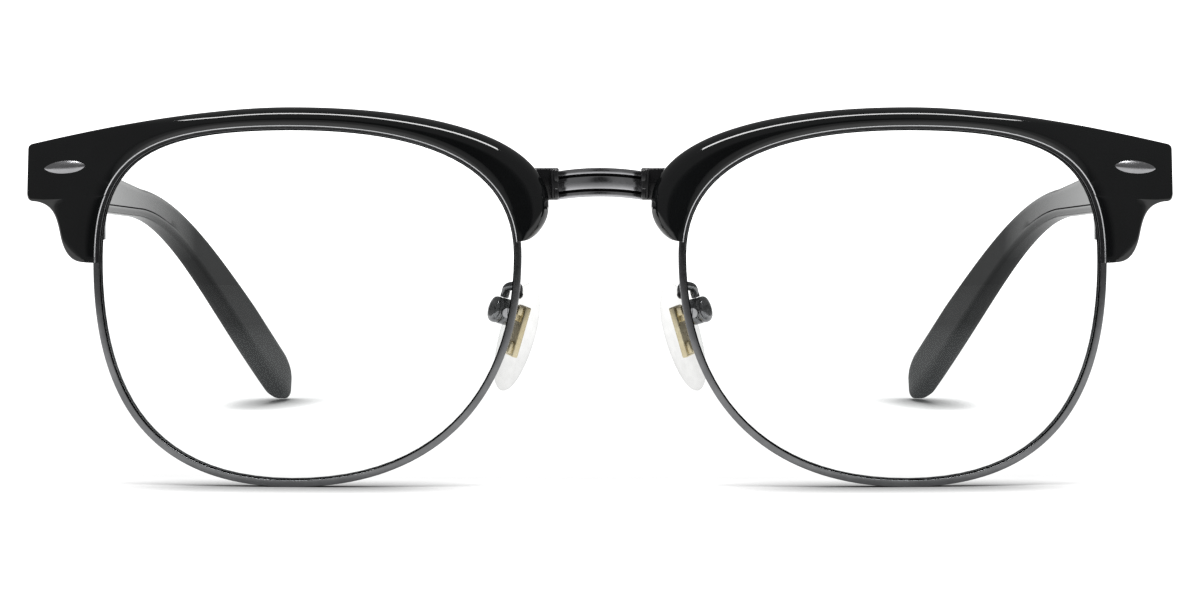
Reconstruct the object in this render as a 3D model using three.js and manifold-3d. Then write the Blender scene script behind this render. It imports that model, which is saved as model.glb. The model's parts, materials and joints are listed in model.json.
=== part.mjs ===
// Half rim (browline) eyeglasses: metal rims under black plastic brow bars, with folding temples.
// Millimetres. +X is the wearer's left, +Y runs back towards the ears, +Z is up.
// One side is modelled on +X and mirrored for the other. Places on the front are given as (u, v, w):
// u outwards and v up from the lens centre, w back from the curved front surface.
import * as THREE from "three";
import { mergeVertices } from "three/addons/utils/BufferGeometryUtils.js";
import Module from "manifold-3d";

const wasm = await Module();
wasm.setup();

// ---------------------------------------------------------------- driving dimensions

const lensWidth = 51.6; // opening of the rim
const lensHeight = 43.3;
const bridgeWidth = 21; // between the two openings
const lugReach = 9.4; // brow beyond the lens opening, to the side
const templeReach = 126; // hinge axis to temple tip, measured straight back

const faceRadius = 150; // curve of the front, the same across and up
const wrapSlope = Math.tan(THREE.MathUtils.degToRad(3));

const rimWidth = 0.85;
const rimDepth = 1.8;
const rimEdge = [0.2, 0.25]; // chamfer of its outer edges, across and along its depth
const grooveDepth = 0.42;
const grooveMouth = 0.8;
const lensThickness = 1.5;
const bevelHeight = 0.3;
const bevelHalf = 0.3; // half its width

const browHeight = 2.75; // above the lens opening
const browFront = 2.5; // in front of the curved surface
const browBack = 2.1; // behind it
const browLip = 0.35; // plastic edge above the rim's inner edge

const lugDrop = 1.85; // lug's top edge under the top of the lens
const lugHeight = 6.9;
const noseReach = 4.2; // brow beyond the lens opening, to the nose
const noseTipRise = 1.85; // its nose end over the opening's innermost point
const legDrop = 0.7; // its leg's foot under the opening's outermost point
const topShift = 2.1; // the opening's highest point sits this far to the side
const bottomShift = 1.9;
const outerRise = 5.8; // its widest point sits this far above the centre
const innerRise = 6;
const lensShift = 0.05; // its middle sits this far under the centre

const plaqueLength = 5.6;
const plaqueHeight = 1.75;
const plaqueThickness = 0.75;
const plaqueTilt = THREE.MathUtils.degToRad(-4);
const plaqueInset = 2.35; // from the lug's end
const plaqueDrop = 2.8; // plaque's middle under the lug's top
const plaquePinSpread = 2.464; // between the two pins
const plaquePinRadius = 0.4;
const plaquePinLength = 1.3;

const lockHeight = 2.9; // each half of the block that closes the rim
const lockWidth = 3.3;
const lockOverlap = 0.3; // over the opening's side
const headRoomGap = 0.35; // round the closing screw's head
const closingDrop = 10.8; // rim's split under the top of the lens
const rimGap = 0.3;
const armThickness = 1.3; // end piece
const armHeight = 3.6;
const armSink = 0.6; // into the brow's back
const armInset = 2.2; // its end from the lug's end
const armOverlap = 0.4; // its start over the opening's side

const hingeInset = 6.1; // hinge axis from the lug's end
const hingeDrop = 5; // its middle under the lug's top
const hingeSetback = 1.6; // end piece's arm to the barrels
const barrelRadius = 1.35;
const barrelHeight = 5.2;
const barrelCount = 5;
const barrelPlay = 0.07;
const hingeScrewRadius = 0.6;
const runningGap = 0.05; // radial, hinge screw in the moving barrels

const templeStraight = 34; // behind the hinge, before it starts to bend down
const templeLean = 0.08; // inward slope of the straight part
const templeInset = 13.6; // tip further in than the hinge
const bendReach = [27, 42]; // handles of the bend, from the straight part and from the tip
const bendDrop = 18; // rise of the second handle over the tip
const bendSide = 5.5; // second handle outside the tip
const straightDrop = 0.062; // downward slope of the straight part
const templeLower = 0.3; // its centre line under the hinge's middle
const tipSlant = 1.36; // the slope at the tip raises its lowest corner by this much
const tipThin = 0.45; // least share of the thickness, at the very tip
const templeFrontTop = 4.2; // above the straight part's centre line, at the hinge
const templeFrontBottom = 2.4; // below it
const templeHeight = 4;
const templeTipHeight = 6.9;
const templeThickness = 3.1;
const templeTipThickness = 3.9;
const coreHeight = 1.5;
const coreThickness = 0.9;
const leafOffset = 0.5; // plastic between the hinge leaf and the temple's inner side
const leafLength = 8;
const leafHeight = 3.4;
const leafLead = 0.9; // leaf in front of the hinge axis
const coreEnd = 0.9; // share of the temple's length that the metal core reaches
const stopGap = 0.2; // open temple to lug

const bridgeHeight = 3.6;
const bridgeThickness = 1.9;
const bridgeRise = 0.4; // arch of the middle over the ends
const bridgeBow = 1.3; // middle in front of the ends
const bridgeDrop = 6.75; // its middle under the top of the lens
const bridgeInset = 5.3; // its end from the lens opening
const bridgeGroove = 0.25;
const bridgeGrooveHalf = 0.14; // half a groove's width
const bridgeGrooveRises = [-0.95, 0.9];
const bridgeEdge = 0.3; // chamfer
const lugPlateLength = 7.2;
const lugPlateHeight = 4;
const lugPlateThickness = 1.5;

const padLength = 14;
const padWidth = 7.4;
const padThickness = 2.6;
const padFlat = 0.55; // flat share of the pad's two faces
const padTilt = THREE.MathUtils.degToRad(16); // top towards the middle
const padSplay = THREE.MathUtils.degToRad(22); // rear edge away from the middle
const padDrop = 4.35; // pad centre under the lens centre
const padSetback = 7;
const padEdge = [
  [0.82, 0.78],
  [0.96, 0.4],
]; // shares of its half width and half thickness on the rounded edge
const insertLength = 7.4;
const insertWidth = 2.6;
const insertThickness = 0.9;
const boxRadius = 1.65;
const boxLength = 2.6;
const boxWall = 0.42;
const boxLift = 2.7; // box above the pad's centre, along the pad
const boxClearance = 0.45; // pad back to box mouth
const pivotDepth = 1.15; // pad screw behind the box's mouth
const tongueShort = 0.35; // tongue to the box's floor
const tongueHeight = 1.5;
const tongueThickness = 1;
const padScrewRadius = 0.35;
const wireRadius = 0.55;
const wireRootV = 1.2; // where it meets the rim, over the lens centre

const solderGap = 0.06; // between pieces that solder or glue joins
const slipGap = 0.12; // around pieces that press or slide into place
const screwGap = 0.05; // radial, around a screw's shank
const spare = 1; // by which cutting shapes reach past what they cut

const slotWidth = 0.3; // in a screw's head
const closingScrewRadius = 0.5;
const closingScrewHead = { radius: 0.9, height: 0.6 };
const hingeScrewHead = { radius: 1, height: 0.5 };
const padScrewHead = { radius: 0.6, height: 0.35 };

// ---------------------------------------------------------------- places that follow from them

const halfLens = lensWidth / 2;
const lensTop = lensHeight / 2 - lensShift;
const lensBottom = lensTop - lensHeight;
const lensCentreX = (lensWidth + bridgeWidth) / 2;
const lensCentreZ = rimWidth - lensBottom;

const lugTop = lensTop - lugDrop;
const hingeX = lensCentreX + halfLens + lugReach - hingeInset;
const hingeZ = lensCentreZ + lugTop - hingeDrop;
const closingV = lensTop - closingDrop;

const colours = {
  gloss: new THREE.MeshStandardMaterial({ color: 0x14181a, roughness: 0.12, metalness: 0 }),
  gunmetal: new THREE.MeshStandardMaterial({ color: 0x5a5e62, roughness: 0.28, metalness: 1 }),
  plaque: new THREE.MeshStandardMaterial({ color: 0x9a9ea2, roughness: 0.2, metalness: 1 }),
  screw: new THREE.MeshStandardMaterial({ color: 0x3a3c3e, roughness: 0.3, metalness: 1 }),
  insert: new THREE.MeshStandardMaterial({ color: 0xc2a468, roughness: 0.35, metalness: 0.8 }),
  lens: new THREE.MeshStandardMaterial({
    color: 0xf4f8f8,
    roughness: 0.03,
    metalness: 0,
    transparent: true,
    opacity: 0.2,
  }),
  silicone: new THREE.MeshStandardMaterial({
    color: 0xe8e6e0,
    roughness: 0.25,
    metalness: 0,
    transparent: true,
    opacity: 0.55,
  }),
};

// ---------------------------------------------------------------- solids

const vec2 = (x, y) => new THREE.Vector2(x, y);
const vec3 = (x, y, z) => new THREE.Vector3(x, y, z);

// How far the curved front surface lies back at (u, v).
const dish = (u, v) => (u * u + v * v) / (2 * faceRadius) + u * wrapSlope;

// The point at (u, v, w) on the +X side.
const onFront = (u, v, w) => vec3(lensCentreX + u, w + dish(u, v), lensCentreZ + v);

function signedVolume(positions, triangles) {
  const [a, b, c] = [vec3(), vec3(), vec3()];
  let volume = 0;
  for (let i = 0; i < triangles.length; i += 3) {
    a.fromArray(positions, 3 * triangles[i]);
    b.fromArray(positions, 3 * triangles[i + 1]);
    c.fromArray(positions, 3 * triangles[i + 2]);
    volume += a.dot(b.cross(c)) / 6;
  }
  return volume;
}

// A closed three.js geometry as a solid, turned right side out.
function solid(geometry) {
  geometry.deleteAttribute("normal");
  geometry.deleteAttribute("uv");
  const merged = mergeVertices(geometry, 1e-4);
  const corners = Array.from(merged.index.array);
  const triangles = [];
  for (let i = 0; i < corners.length; i += 3) {
    const [a, b, c] = corners.slice(i, i + 3);
    if (a !== b && b !== c && c !== a) triangles.push(a, b, c);
  }
  const positions = merged.attributes.position.array;
  if (signedVolume(positions, triangles) < 0) triangles.reverse();
  const mesh = new wasm.Mesh({
    numProp: 3,
    vertProperties: positions,
    triVerts: new Uint32Array(triangles),
  });
  return new wasm.Manifold(mesh);
}

// A rod that skips from ring to ring of points, closed by a cap at each end.
function skin(rings) {
  const corners = rings[0].length;
  const geometry = new THREE.CylinderGeometry(1, 1, 1, corners, rings.length - 1);
  const position = geometry.attributes.position;
  for (let i = 0; i < position.count; i += 1) {
    const [x, y, z] = [position.getX(i), position.getY(i), position.getZ(i)];
    const ring = rings[Math.round((0.5 - y) * (rings.length - 1))];
    const corner = Math.round((Math.atan2(x, z) / (2 * Math.PI)) * corners);
    const middle = () => ring.reduce((sum, p) => sum.add(p), vec3(0, 0, 0)).divideScalar(corners);
    const point = Math.hypot(x, z) < 0.5 ? middle() : ring.at(corner);
    position.setXYZ(i, point.x, point.y, point.z);
  }
  return solid(geometry);
}

// A closed loop of rings of points, the last joined to the first.
function loop(rings) {
  const corners = rings[0].length;
  const geometry = new THREE.TorusGeometry(2, 1, corners, rings.length);
  const position = geometry.attributes.position;
  for (let i = 0; i < position.count; i += 1) {
    const ring = rings[(i % (rings.length + 1)) % rings.length];
    const point = ring[Math.floor(i / (rings.length + 1)) % corners];
    position.setXYZ(i, point.x, point.y, point.z);
  }
  return solid(geometry);
}

// A box from one corner to the opposite one, grown by a gap on every side.
function box(low, high, gap = 0) {
  const size = high.clone().sub(low).addScalar(2 * gap);
  const centre = low.clone().add(high).divideScalar(2);
  return solid(new THREE.BoxGeometry(size.x, size.y, size.z).translate(...centre));
}

// A box in (u, v, w) that follows the curve of the front.
function plate([u0, u1], [v0, v1], [w0, w1], gap = 0, cells = [1, 1]) {
  const size = [u1 - u0 + 2 * gap, v1 - v0 + 2 * gap, w1 - w0 + 2 * gap];
  const geometry = new THREE.BoxGeometry(...size, ...cells, 1);
  geometry.translate((u0 + u1) / 2, (v0 + v1) / 2, (w0 + w1) / 2);
  const position = geometry.attributes.position;
  for (let i = 0; i < position.count; i += 1) {
    const point = onFront(position.getX(i), position.getY(i), position.getZ(i));
    position.setXYZ(i, point.x, point.y, point.z);
  }
  return solid(geometry);
}

// A round bar between two points.
function rod(from, to, radius, sides = 20) {
  const length = from.distanceTo(to);
  const geometry = new THREE.CylinderGeometry(radius, radius, length, sides);
  const turn = new THREE.Quaternion().setFromUnitVectors(vec3(0, 1, 0), to.clone().sub(from).normalize());
  geometry.applyQuaternion(turn);
  return solid(geometry.translate(...from.clone().add(to).divideScalar(2)));
}

// A screw: head at the first point, with a slot, and a shank that ends at the second.
function screw(from, to, head, radius) {
  const [seat, inside] = [vec3(0, head.height, 0), vec3(0, head.height / 2, 0)];
  const end = vec3(0, from.distanceTo(to), 0);
  const slot = box(
    vec3(-slotWidth / 2, -head.height, -head.radius - spare),
    vec3(slotWidth / 2, head.height * 0.4, head.radius + spare),
  );
  const turn = new THREE.Quaternion().setFromUnitVectors(vec3(0, 1, 0), to.clone().sub(from).normalize());
  const place = new THREE.Matrix4().compose(from, turn, vec3(1, 1, 1));
  return rod(vec3(0, 0, 0), seat, head.radius)
    .add(rod(inside, end, radius, 14))
    .subtract(slot)
    .transform(place.elements);
}

// A flat outline standing in the XZ plane of the front, extruded from y0 to y1.
function frontPrism(points, y0, y1) {
  const shape = new THREE.Shape(points);
  const geometry = new THREE.ExtrudeGeometry(shape, { depth: y1 - y0, bevelEnabled: false });
  geometry.rotateX(Math.PI / 2);
  return solid(geometry.translate(lensCentreX, y1, lensCentreZ));
}

function meshOf(name, body, material) {
  const { vertProperties, triVerts } = body.getMesh();
  const geometry = new THREE.BufferGeometry();
  geometry.setAttribute("position", new THREE.BufferAttribute(vertProperties, 3));
  geometry.setIndex(new THREE.BufferAttribute(triVerts, 1));
  geometry.computeVertexNormals();
  const mesh = new THREE.Mesh(geometry, material);
  mesh.name = name;
  return mesh;
}

// ---------------------------------------------------------------- the lens outline

// One quarter of the outline; each handle reaches a share of the quarter's width or height.
function quarter(from, to, [a, b]) {
  const startsLevel = Math.abs(to.x) > Math.abs(from.x);
  const [dx, dy] = [to.x - from.x, to.y - from.y];
  const first = startsLevel ? vec2(from.x + a * dx, from.y) : vec2(from.x, from.y + a * dy);
  const second = startsLevel ? vec2(to.x, to.y - b * dy) : vec2(to.x - b * dx, to.y);
  return new THREE.CubicBezierCurve(from, first, second, to);
}

const topPoint = vec2(topShift, lensTop);
const outerPoint = vec2(halfLens, outerRise);
const bottomPoint = vec2(bottomShift, lensBottom);
const innerPoint = vec2(-halfLens, innerRise);
const quarters = [
  quarter(topPoint, outerPoint, [0.75, 0.77]),
  quarter(outerPoint, bottomPoint, [0.54, 0.8]),
  quarter(bottomPoint, innerPoint, [0.71, 0.54]),
  quarter(innerPoint, topPoint, [0.72, 0.61]),
];
const quarterSteps = 12;

// The outline's points and outward normals, once round, starting at the top.
const outline = quarters.flatMap((curve) =>
  Array.from({ length: quarterSteps }, (_, i) => {
    const at = curve.getPoint(i / quarterSteps);
    const along = curve.getTangent(i / quarterSteps);
    return { at, out: vec2(-along.y, along.x) };
  }),
);

// The point n outside the outline, where the curve passes its i-th point.
function beside(i, n) {
  const { at, out } = outline.at(i % outline.length);
  return at.clone().addScaledVector(out, n);
}

// A bar of the given section, as [n, w] corners, once round the outline.
function roundLens(section) {
  const rings = outline.map((_, i) =>
    section.map(([n, w]) => {
      const { x, y } = beside(i, n);
      return onFront(x, y, w);
    }),
  );
  return loop(rings);
}

// ---------------------------------------------------------------- rim, lens and brow

const halfDepth = rimDepth / 2;

const rimSection = [
  [0, -halfDepth],
  [0, -grooveMouth / 2],
  [grooveDepth, 0],
  [0, grooveMouth / 2],
  [0, halfDepth],
  [rimWidth - rimEdge[0], halfDepth],
  [rimWidth, halfDepth - rimEdge[1]],
  [rimWidth, rimEdge[1] - halfDepth],
  [rimWidth - rimEdge[0], -halfDepth],
];

// The space that the rim takes up, with a gap all round and open towards the lens.
const rimSpace = (gap) =>
  roundLens([
    [-spare, -halfDepth - gap],
    [-spare, halfDepth + gap],
    [rimWidth + gap, halfDepth + gap],
    [rimWidth + gap, -halfDepth - gap],
  ]);

const lockU = [halfLens - lockOverlap, halfLens - lockOverlap + lockWidth];
const lockW = [-halfDepth, browBack];

function rim() {
  const gap = [closingV - rimGap / 2, closingV + rimGap / 2];
  const across = [halfLens - 3 * spare, halfLens + 2 * spare];
  return roundLens(rimSection).subtract(plate(across, gap, [-rimDepth, rimDepth]));
}

// A lens of even thickness whose edge has a bevel that sits in the rim's groove.
function lens() {
  const half = lensThickness / 2;
  const inset = -slipGap;
  const stages = [
    [0.5, inset, -half],
    [1, inset, -half],
    [1, inset, -bevelHalf],
    [1, bevelHeight, 0],
    [1, inset, bevelHalf],
    [1, inset, half],
    [0.5, inset, half],
  ];
  const rings = stages.map(([share, n, w]) =>
    outline.map((_, i) => {
      const { x, y } = beside(i, n).multiplyScalar(share);
      return onFront(x, y, w);
    }),
  );
  return skin(rings);
}

const lugEnd = halfLens + lugReach;
const noseEnd = -halfLens - noseReach;
const noseTipV = innerRise + noseTipRise;
const legV = outerRise - legDrop;
const browTop = lensTop + browHeight;

// The brow's outline: top edge, nose end, the edge along the lens, the leg and the lug.
function browOutline() {
  const lugBottom = lugTop - lugHeight;
  const upper = new THREE.Path();
  upper.moveTo(lugEnd, lugTop - 0.5);
  upper.quadraticCurveTo(lugEnd, lugTop + 0.1, lugEnd - 0.6, lugTop + 0.15);
  upper.bezierCurveTo(lugEnd - 12.3, lugTop + 2.65, topShift + 9.4, browTop, topShift, browTop);
  upper.bezierCurveTo(topShift - 18.2, browTop, noseEnd, noseTipV + 12.7, noseEnd, noseTipV + 4.2);
  upper.bezierCurveTo(noseEnd, noseTipV + 2, noseEnd + 1.9, noseTipV, noseEnd + 3, noseTipV);
  const firstLip = 3 * quarterSteps + 1;
  const lip = Array.from({ length: 2 * quarterSteps }, (_, i) => beside(firstLip + i, browLip));
  const leg = new THREE.Path();
  leg.moveTo(halfLens + 0.5, legV);
  leg.bezierCurveTo(halfLens + 2.2, legV, halfLens + 3.6, legV + 0.3, halfLens + 4.1, legV + 1.4);
  leg.bezierCurveTo(halfLens + 5.2, legV + 4, halfLens + 5, lugBottom - 0.3, lugEnd - 2.5, lugBottom - 0.2);
  leg.quadraticCurveTo(lugEnd, lugBottom - 0.2, lugEnd, lugBottom + 0.8);
  return [...upper.getPoints(8), ...lip, ...leg.getPoints(6)];
}

// The blocks at the rim's split: the upper one belongs to the end piece.
const upperLock = () => plate(lockU, [closingV + rimGap / 2, closingV + lockHeight], lockW);
const lowerLock = () => plate(lockU, [closingV - lockHeight, closingV - rimGap / 2], lockW);
const lockSpace = () => plate(lockU, [closingV - lockHeight, closingV + lockHeight], lockW, slipGap);
const [closingScrewOut, closingScrewBack] = [1.8, 0.75]; // from the opening's side and the curved surface
const closingScrewAt = (v) => {
  const axis = onFront(halfLens + closingScrewOut, closingV, closingScrewBack);
  return vec3(axis.x, axis.y, lensCentreZ + v);
};
const closingScrewEnds = [
  closingScrewAt(closingV - lockHeight - closingScrewHead.height - solderGap),
  closingScrewAt(closingV + lockHeight - closingScrewRadius),
];

const closingScrewHole = () => rod(...closingScrewEnds, closingScrewRadius + screwGap, 14);

const hingeV = hingeZ - lensCentreZ;
const armU = [halfLens - armOverlap, lugEnd - armInset];
const armV = [hingeV - armHeight / 2, hingeV + armHeight / 2];
const armW = [browBack - armSink, browBack - armSink + armThickness];
const arm = (gap = 0) => plate(armU, armV, armW, gap, [4, 1]);

const bridgeV = lensTop - bridgeDrop;
const bridgeEndX = bridgeWidth / 2 - bridgeInset;
const lugPlateStart = bridgeEndX + solderGap - lensCentreX;
const lugPlateU = [lugPlateStart, lugPlateStart + lugPlateLength];
const lugPlateV = [bridgeV - lugPlateHeight / 2, bridgeV + lugPlateHeight / 2];
const lugPlateW = [halfDepth + solderGap, halfDepth + solderGap + lugPlateThickness];
const lugPlate = (gap = 0) => plate(lugPlateU, lugPlateV, lugPlateW, gap, [3, 1]);

// Screws that hold the brow from behind, each with its head sunk into the plate it bears on.
const sink = 0.35;
const browScrews = {
  outer: { u: halfLens + 1.6, v: hingeV + 0.4, seat: armW[1] - sink },
  inner: { u: -halfLens - 1.9, v: bridgeV, seat: lugPlateW[1] - sink },
};
const browScrewRadius = 0.55;
const browScrewHead = { radius: 1, height: 0.5 };
const browScrewDepth = 1.1; // end of the shank, in front of the curved surface

const browScrewLine = ({ u, v, seat }, gap) => [
  onFront(u, v, seat + browScrewHead.height + gap),
  onFront(u, v, -browScrewDepth - gap),
];

function browScrew(place) {
  const [head, end] = browScrewLine(place, solderGap);
  return screw(head, end.setY(end.y + solderGap), browScrewHead, browScrewRadius);
}

// The hole for a brow screw, with the flat seat for its head.
function browScrewHole(place) {
  const shank = rod(...browScrewLine(place, slipGap), browScrewRadius + screwGap, 14);
  const seat = onFront(place.u, place.v, place.seat);
  return shank.add(rod(seat, seat.clone().add(vec3(0, 2, 0)), browScrewHead.radius + screwGap));
}

const plaqueAt = vec2(lugEnd - plaqueLength / 2 - plaqueInset, lugTop - plaqueDrop);

// A pointed oval, grown by a gap.
function plaqueOutline(gap) {
  const [half, rise] = [plaqueLength / 2 + gap, plaqueHeight / 2 + gap];
  const path = new THREE.Path();
  path.moveTo(-half, 0);
  path.quadraticCurveTo(0, 2 * rise, half, 0);
  path.quadraticCurveTo(0, -2 * rise, -half, 0);
  return path
    .getPoints(9)
    .slice(0, -1)
    .map((point) => point.rotateAround(vec2(0, 0), plaqueTilt).add(plaqueAt));
}

// The metal plaque on the lug, with two pins that press into the plastic.
function plaque(gap = 0) {
  const face = dish(plaqueAt.x, plaqueAt.y) - browFront;
  const back = face + plaqueThickness / 2;
  const oval = frontPrism(plaqueOutline(gap), back - plaqueThickness, back + gap);
  const pins = [-1, 1].map((way) => {
    const out = (way * plaquePinSpread) / 2;
    const x = lensCentreX + plaqueAt.x + out;
    const z = lensCentreZ + plaqueAt.y + out * Math.tan(plaqueTilt);
    const end = vec3(x, back + plaquePinLength + gap, z);
    return rod(vec3(x, back - plaqueThickness / 4, z), end, plaquePinRadius + gap, 10);
  });
  return oval.add(pins[0]).add(pins[1]);
}

function brow() {
  const slabU = [noseEnd - spare, lugEnd + spare];
  const slab = plate(slabU, [0, browTop + spare], [-browFront, browBack], 0, [15, 6]);
  const [reach, { height }] = [closingScrewHead.radius + headRoomGap, closingScrewHead];
  const headRoom = box(
    closingScrewEnds[0].clone().add(vec3(-reach, -reach - headRoomGap, -headRoomGap)),
    closingScrewEnds[0].clone().add(vec3(reach, browBack + spare, height + headRoomGap)),
  );
  return frontPrism(browOutline(), dish(noseEnd, 0) - 2 * browFront, dish(lugEnd, browTop) + 2 * browBack)
    .intersect(slab)
    .subtract(rimSpace(slipGap))
    .subtract(lockSpace())
    .subtract(headRoom)
    .subtract(arm(slipGap))
    .subtract(lugPlate(slipGap))
    .subtract(plaque(slipGap))
    .subtract(browScrewHole(browScrews.outer))
    .subtract(browScrewHole(browScrews.inner));
}

// ---------------------------------------------------------------- end piece and hinge

const tabShare = 0.8; // of a barrel's width, for the tab that carries it
const barrelLength = (barrelHeight - (barrelCount - 1) * barrelPlay) / barrelCount;
const armRear = onFront(hingeX - lensCentreX, hingeV, armW[1]).y;
const hingeY = armRear + hingeSetback + barrelRadius;
const barrelFoot = (i) => hingeZ - barrelHeight / 2 + i * (barrelLength + barrelPlay);
const hingeAt = (z) => vec3(hingeX, hingeY, z);

const barrel = (i) => rod(hingeAt(barrelFoot(i)), hingeAt(barrelFoot(i) + barrelLength), barrelRadius, 24);

const hingeBore = (gap) =>
  rod(hingeAt(hingeZ - barrelHeight), hingeAt(hingeZ + barrelHeight), hingeScrewRadius + gap, 20);

const levels = (first) => Array.from({ length: barrelCount }, (_, i) => i).filter((i) => i % 2 === first);

// The tab from the end piece's arm to one of its barrels.
function endPieceTab(i) {
  const middle = hingeX - lensCentreX;
  const low = barrelFoot(i) - lensCentreZ;
  const half = tabShare * barrelRadius;
  const back = [armW[1] - armThickness / 4, armW[1] + hingeSetback + barrelRadius];
  return plate([middle - half, middle + half], [low, low + barrelLength], back);
}

function endPiece() {
  const barrels = levels(0).map((i) => barrel(i).add(endPieceTab(i)));
  return barrels
    .reduce((sum, one) => sum.add(one), arm().add(upperLock()))
    .subtract(hingeBore(screwGap))
    .subtract(rimSpace(solderGap))
    .subtract(closingScrewHole())
    .subtract(browScrewHole(browScrews.outer));
}

function rimLock() {
  return lowerLock().subtract(rimSpace(solderGap)).subtract(closingScrewHole());
}

function closingScrew() {
  const [head, end] = closingScrewEnds;
  return screw(head, end.clone().setZ(end.z - slipGap), closingScrewHead, closingScrewRadius);
}

function hingeScrew() {
  const top = hingeZ + barrelHeight / 2;
  const head = hingeAt(top + solderGap + hingeScrewHead.height);
  return screw(head, hingeAt(hingeZ - barrelHeight / 2), hingeScrewHead, hingeScrewRadius);
}

// ---------------------------------------------------------------- temple

const innerX = hingeX + barrelRadius + slipGap; // inner side of the temple, at the hinge
const templeStart = -4.5; // behind the hinge axis, before the lug is cut away
const tipRise = templeTipHeight / 2 - tipSlant; // centre of the tip above the resting surface

// The inner side's centre line where it runs straight, at a distance behind the hinge.
const straightAt = (back) =>
  vec3(innerX - templeLean * back, hingeY + back, hingeZ - templeLower - straightDrop * back);

// Behind its straight part the centre line bends down and in to the tip.
function templeBend() {
  const tip = vec3(innerX - templeInset, hingeY + templeReach, tipRise);
  const second = tip.clone().add(vec3(bendSide, -bendReach[1], bendDrop));
  const ends = [straightAt(templeStraight), straightAt(templeStraight + bendReach[0])];
  return new THREE.CubicBezierCurve3(...ends, second, tip);
}

const bend = templeBend();
const bendLength = bend.getLength();
const bendSteps = 22;
const tipSteps = 4;
const tipTurn = THREE.MathUtils.degToRad(86.4); // how far round the tip's edge curves

// Stations from the hinge to the tip: where, which way up, and the share of the way round the bend.
function stations() {
  const up = vec3(0, 0, 1);
  const straight = [straightAt(templeStart), straightAt((templeStart + templeStraight) / 2)];
  const front = straight.map((at, i) => ({ at, up, share: 0, front: 1 - i / 2, round: 1 }));
  const bent = Array.from({ length: bendSteps + tipSteps }, (_, i) => {
    const angle = (Math.max(0, i - bendSteps + 1) / tipSteps) * tipTurn;
    const tipStart = 1 - templeTipHeight / 2 / bendLength;
    const cap = tipStart + (1 - tipStart) * Math.sin(angle);
    const share = i < bendSteps ? (i / (bendSteps - 1)) * tipStart : cap;
    const along = bend.getTangentAt(share);
    const across = vec3(1, 0, 0).addScaledVector(along, -along.x).normalize();
    return { at: bend.getPointAt(share), up: across.cross(along), share, front: 0, round: Math.cos(angle) };
  });
  return [...front, ...bent];
}

const blend = (from, to, share) => from + (to - from) * THREE.MathUtils.smoothstep(share, 0, 1);

// Edges of the temple's section, each by its reach across the thickness and down the height.
const innerEdges = [
  [0, 0.8],
  [0.5, 0.15],
  [1.1, 0],
];
const outerEdges = [
  [1, 0],
  [0.3, 0.35],
  [0, 1.1],
];

// Corners of a ring: over the top from the flat inner side to the outer side, and back underneath.
function templeRing({ at, up, share, front, round }) {
  const height = blend(templeHeight, templeTipHeight, share) * round;
  const top = height / 2 + front * (templeFrontTop - templeHeight / 2);
  const bottom = height / 2 + front * (templeFrontBottom - templeHeight / 2);
  const full = blend(templeThickness, templeTipThickness, share);
  const thick = full * (tipThin + (1 - tipThin) * round);
  const corner = (x, rise) => at.clone().addScaledVector(up, rise).add(vec3(x + (full - thick) / 2, 0, 0));
  const edges = [
    ...innerEdges.map(([across, down]) => [across * round, down * round]),
    ...outerEdges.map(([across, down]) => [thick - across * round, down * round]),
  ];
  const over = edges.map(([across, down]) => corner(across, top - down));
  const under = edges.map(([across, down]) => corner(across, down - bottom));
  return [...over, ...under.reverse()];
}

const wireRoot = 2; // of the core wire, inside the hinge leaf
const leafX = [innerX + leafOffset, innerX + leafOffset + coreThickness];
const leafZ = [hingeZ - leafHeight / 2, hingeZ + leafHeight / 2];

// The hinge leaf and the wire behind it, inside the temple.
function coreBar(gap) {
  const [half, rise] = [coreThickness / 2 + gap, coreHeight / 2 + gap];
  const section = (centre, up) =>
    [
      [-half, rise],
      [half, rise],
      [half, -rise],
      [-half, -rise],
    ].map(([x, z]) => centre.clone().addScaledVector(up, z).add(vec3(x, 0, 0)));
  const leafBack = hingeY + leafLength - wireRoot;
  const leafMiddle = vec3((leafX[0] + leafX[1]) / 2, leafBack, hingeZ - 2 * templeLower);
  const along = stations().filter(({ share }, i) => i > 0 && share < coreEnd);
  const rings = along.map(({ at, up, share }) => {
    const inside = blend(templeThickness, templeTipThickness, share) / 2;
    return section(at.clone().add(vec3(inside, 0, 0)), up);
  });
  const past = bend.getTangentAt(coreEnd).multiplyScalar(gap + coreThickness / 2);
  const end = rings.at(-1).map((point) => point.clone().add(past));
  const leaf = box(
    vec3(leafX[0], hingeY - leafLead, leafZ[0]),
    vec3(leafX[1], hingeY + leafLength, leafZ[1]),
    gap,
  );
  return leaf.add(skin([section(leafMiddle, vec3(0, 0, 1)), ...rings, end]));
}

const templeTabX = [hingeX, leafX[0] + coreThickness / 4];
const templeTabY = [hingeY - leafLead, hingeY + leafLead];

// The tab from the hinge leaf to one of its barrels.
function templeTab(i) {
  const low = vec3(templeTabX[0], templeTabY[0], barrelFoot(i));
  return box(low, vec3(templeTabX[1], templeTabY[1], barrelFoot(i) + barrelLength));
}

function templeCore() {
  return levels(1)
    .map((i) => barrel(i).add(templeTab(i)))
    .reduce((sum, one) => sum.add(one), coreBar(0))
    .subtract(hingeBore(runningGap));
}

// Room in the temple's front end for the hinge leaf and its tabs.
function hingeNotch() {
  const low = vec3(innerX - spare, hingeY + templeStart - spare, leafZ[0]);
  return box(low, vec3(leafX[1], templeTabY[1], leafZ[1]), slipGap);
}

function temple() {
  const stopW = armW[1] + stopGap;
  const lug = plate([halfLens, lugEnd + spare], [0, browTop + spare], [-browFront, stopW], 0, [6, 2]);
  return skin(stations().map(templeRing)).subtract(coreBar(slipGap)).subtract(hingeNotch()).subtract(lug);
}

// ---------------------------------------------------------------- bridge

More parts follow.
